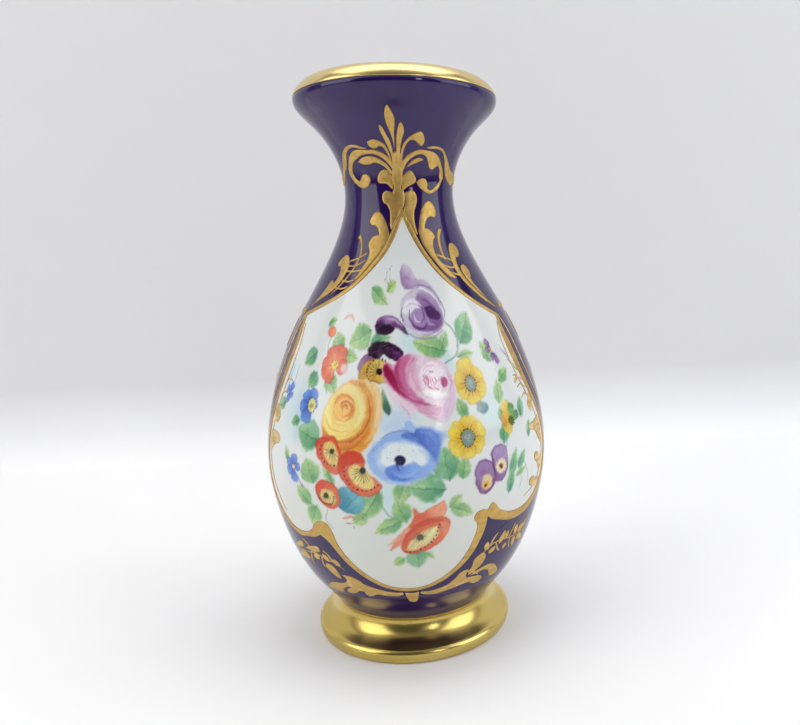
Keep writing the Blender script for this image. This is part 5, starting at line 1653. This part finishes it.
# ---- red poppy -----------------------------------------------------------------------
begin("poppy")
PR, PR_L, PR_D = (0.87, 0.40, 0.25), (0.93, 0.60, 0.44), (0.74, 0.22, 0.12)
fill([(0.8, 61.4, 1), (3.4, 59.4), (7.0, 61.2), (11.8, 62.8, 1), (12.6, 60.6), (11.6, 57.6), (7.6, 56.4),
      (2.6, 55.0), (-1.4, 54.6), (0.4, 57.6)], PR_L, soft=0.4, ang=0.7,
     to=((10, 62), (1, 55), (0.84, 0.34, 0.20)), rim=PR_D, rim_w=0.6, rim_a=0.35)
stroke([(-8.4, 46.6), (-5.0, 49.6), (-1.6, 53.4), (2.4, 57.0)], 0.4, 1.3, 0.5, PR, a=0.85, soft=0.4, streak=0.6)
stroke([(-9.4, 48.4), (-5.6, 50.6), (-2.4, 53.4)], 0.25, 0.7, 0.3, PR_L, a=0.75, soft=0.35, streak=0.6)
fill([(-4.6, 47.0), (-3.0, 50.8), (0.6, 54.6), (5.0, 57.0), (10.0, 57.8), (13.4, 56.4), (14.0, 53.4),
      (11.8, 49.8), (8.0, 46.8), (3.0, 45.2), (-1.6, 45.0)], PR, soft=0.4, ang=0.6,
     to=((12, 56), (-2, 46), (0.84, 0.32, 0.18)), rim=PR_D, rim_w=0.7, rim_a=0.45)
fill([(-2.6, 46.6), (-1.2, 49.4), (1.8, 51.8), (5.8, 53.8), (9.2, 54.4), (9.8, 51.8), (7.6, 49.0),
      (3.6, 47.0), (0.0, 46.0)], (0.88, 0.86, 0.62), soft=0.4, ang=0.9, rim=(0.84, 0.48, 0.26), rim_w=0.8, rim_a=0.5)
stroke([(-2.6, 51.6), (1.4, 54.6), (6.0, 56.2), (11.0, 56.4)], 0.4, 1.0, 0.4, PR_D, a=0.7, soft=0.35, streak=0.6)
stroke([(10.6, 55.4), (12.6, 53.6), (11.4, 50.4)], 0.4, 0.9, 0.3, PR_L, a=0.7, soft=0.35)
for k in range(11):
    v = math.radians(15 + 24 * k)
    stroke([(2.8, 50.8), (2.8 + 2.6 * math.cos(v) / 0.9, 50.8 + 2.0 * math.sin(v))], 0.09, 0.13, 0.05,
           (0.24, 0.24, 0.16), a=0.65, soft=0.1)
fill(ring_pts(2.8, 50.8, 1.2, 9, 0, 0.9), (0.30, 0.30, 0.22), soft=0.3)
dots([(-2.6, 46.0), (-1.2, 45.8), (0.2, 45.8), (1.6, 46.0), (3.0, 46.4), (4.4, 47.0), (5.7, 47.8),
      (6.9, 48.8), (7.9, 49.9), (8.7, 51.1), (9.3, 52.4), (9.7, 53.7), (10.0, 54.8)], 0.28, (0.14, 0.10, 0.06))


# ---------------------------------------------------------------------------
# White windows and the enamel on them, coloured by the painting
# ---------------------------------------------------------------------------
def canvas_rc(phi, z):
    return (z - Y0) * PX - 0.5, (0.9 * phi - X0) * PX - 0.5


def soften(A, times):
    """Blurs a canvas a little."""
    for _ in range(times):
        A = 0.25 * np.roll(A, 1, 0) + 0.5 * A + 0.25 * np.roll(A, -1, 0)
        A = 0.25 * np.roll(A, 1, 1) + 0.5 * A + 0.25 * np.roll(A, -1, 1)
    return A


PAINT_LIN = lin(np.clip(CANVAS, 0, 1)).astype(np.float32)

zr = heights(29.0, 154.0, 0.5)
pr = np.linspace(-73, 73, 293)
F_WIN = field(pr, zr, [PANEL], pad_z=3.0, n=5) + 0.45
for side, mirror in (("front", False), ("back", True)):
    ob, P, phi, z = shell("white_window_" + side, pr, zr, F_WIN,
                          lambda r, c: np.zeros(len(r)), -0.28, mirror)
    rgb = sample(PAINT_LIN, *canvas_rc(phi, z))
    paint_verts(ob, "paint", np.concatenate([rgb, rgb]))
    piece(ob, RESERVE, "white_glaze", "reserve_" + side)

EP = np.linspace(-71, 71, 541)
EZ = heights(38.0, 138.5, 0.24)
ZE, PE = np.meshgrid(EZ, EP, indexing="ij")
ER, EC = canvas_rc(PE, ZE)
COV_E = sample(soften(COVER, 1), ER, EC)
BODY_E = sample(soften(BODY, 2), ER, EC)
for g, name in enumerate(GROUPS):
    if name in ("none", "washes"):
        continue
    own = sample(soften((OWNER == g).astype(np.float32), 2), ER, EC)
    F = np.minimum(COV_E - 0.05, own - 0.5)
    r, c = np.nonzero(F > 0)
    if not len(r):
        continue
    r0, r1, c0, c1 = max(0, r.min() - 2), r.max() + 3, max(0, c.min() - 2), c.max() + 3
    f, bd, pp, zz = F[r0:r1, c0:c1], BODY_E[r0:r1, c0:c1], EP[c0:c1], EZ[r0:r1]

    def top(rr, cc):
        rise = np.clip(sample(f, rr, cc) * 3.0, 0, 1)
        return 0.012 + 0.045 * rise * np.clip(sample(bd, rr, cc), 0, 1.6)

    for side, mirror in (("front", False), ("back", True)):
        ob, P, phi, z = shell("enamel_%s_%s" % (name, side), pp, zz, f, top, -0.05, mirror)
        rgb = sample(PAINT_LIN, *canvas_rc(phi, z))
        paint_verts(ob, "paint", np.concatenate([rgb, rgb]))
        piece(ob, ENAMEL, "enamel", "enamel_bouquet_" + side)


# ---------------------------------------------------------------------------
# Floor, backdrop, camera and lights
# ---------------------------------------------------------------------------
SWEEP_Y = 0.24
ys, prof = [], []
for t in np.linspace(-1.6, SWEEP_Y, 30):
    prof.append((t, 0.0))
R = 0.05
for a in np.linspace(0, np.pi / 2, 20)[1:]:
    prof.append((SWEEP_Y + R * math.sin(a), R * (1 - math.cos(a))))
for t in np.linspace(0.1, 2.2, 20):
    prof.append((SWEEP_Y + R, t))
prof = np.array(prof)
xs = np.linspace(-2.2, 2.2, 12)
V = np.array([(x, y, z) for y, z in prof for x in xs])
n = len(xs)
quads = np.array([(i * n + j, i * n + j + 1, (i + 1) * n + j + 1, (i + 1) * n + j)
                  for i in range(len(prof) - 1) for j in range(n - 1)])
sweep = new_mesh("studio_sweep", V, [quads])
m, nt, b = material("sweep_paper", lin((0.95, 0.95, 0.955)), 0.6, spec=0.15)
co = node(nt, "ShaderNodeTexCoord")
sx = node(nt, "ShaderNodeSeparateXYZ")
nt.links.new(co.outputs["Object"], sx.inputs[0])
nt.links.new(ramp(nt, to_range(nt, sx.outputs[2], 0.0, 0.05, 0.0, 1.0),
                  [(0.0, lin((0.985, 0.985, 0.985))), (0.35, lin((0.93, 0.933, 0.94))),
                   (1.0, lin((0.885, 0.885, 0.893)))]), b.inputs["Base Color"])
sweep.data.materials.append(m)

cam = bpy.data.cameras.new("camera")
cam.sensor_width = 36.0
cam.sensor_fit = "HORIZONTAL"
cam.lens = 696.95 * 36.0 / 800.0
cam.shift_x = -(482.98 - 400.0) / 800.0
cam.clip_start = 0.01
cam.dof.use_dof = False
camera = bpy.data.objects.new("camera", cam)
bpy.context.scene.collection.objects.link(camera)
yaw, pitch, roll = (math.radians(v) for v in (6.370, 8.107, -1.324))
fwd = np.array([math.sin(yaw) * math.cos(pitch), math.cos(yaw) * math.cos(pitch), -math.sin(pitch)])
right = np.array([math.cos(yaw), -math.sin(yaw), 0.0])
up = np.cross(right, fwd)
r2 = right * math.cos(roll) + up * math.sin(roll)
u2 = -right * math.sin(roll) + up * math.cos(roll)
from mathutils import Matrix, Vector
M = Matrix(((r2[0], u2[0], -fwd[0], 0.0), (r2[1], u2[1], -fwd[1], -0.26117),
            (r2[2], u2[2], -fwd[2], 0.13636), (0, 0, 0, 1)))
camera.matrix_world = M
bpy.context.scene.camera = camera


def area(name, loc, target, w, h, watts, rgb=(1, 1, 1), spread=180):
    d = bpy.data.lights.new(name, "AREA")
    d.shape = "RECTANGLE"
    d.size, d.size_y = w, h
    d.energy = watts
    d.color = rgb
    d.spread = math.radians(spread)
    o = bpy.data.objects.new(name, d)
    bpy.context.scene.collection.objects.link(o)
    o.location = loc
    o.rotation_euler = (Vector(target) - Vector(loc)).to_track_quat("-Z", "Y").to_euler()
    return o


area("side_left", (-1.00, -0.46, 0.62), (0, 0, 0.10), 0.85, 1.0, 5.9, (1.0, 0.99, 0.97))
area("side_right", (1.02, -0.40, 0.60), (0, 0, 0.10), 0.85, 1.0, 5.5, (0.97, 0.985, 1.0))
area("strip_right", (0.36, -0.78, 0.40), (0, 0, 0.12), 0.09, 0.34, 0.60, (0.97, 0.985, 1.0))
area("top", (0.0, 0.16, 1.15), (0, 0.10, 0), 1.3, 0.9, 8.3)

world = bpy.data.worlds.new("world")
bpy.context.scene.world = world
world.use_nodes = True
wt = world.node_tree
bg = wt.nodes["Background"]
co = node(wt, "ShaderNodeTexCoord")
sx = node(wt, "ShaderNodeSeparateXYZ")
wt.links.new(co.outputs["Generated"], sx.inputs[0])
ad = node(wt, "ShaderNodeMath", operation="MULTIPLY_ADD")
ad.inputs[1].default_value = 0.6
wt.links.new(sx.outputs[2], ad.inputs[0])
wt.links.new(sx.outputs[1], ad.inputs[2])
wt.links.new(ramp(wt, to_range(wt, ad.outputs[0], -1.2, 1.2, 0.0, 1.0),
                  [(0.0, (0.06, 0.055, 0.06)), (0.35, (0.16, 0.15, 0.17)), (0.55, (0.62, 0.62, 0.64)),
                   (1.0, (0.90, 0.90, 0.92))]), bg.inputs["Color"])
bg.inputs["Strength"].default_value = 0.55
bpy.context.scene.view_settings.view_transform = "Standard"
bpy.context.scene.view_settings.look = "None"
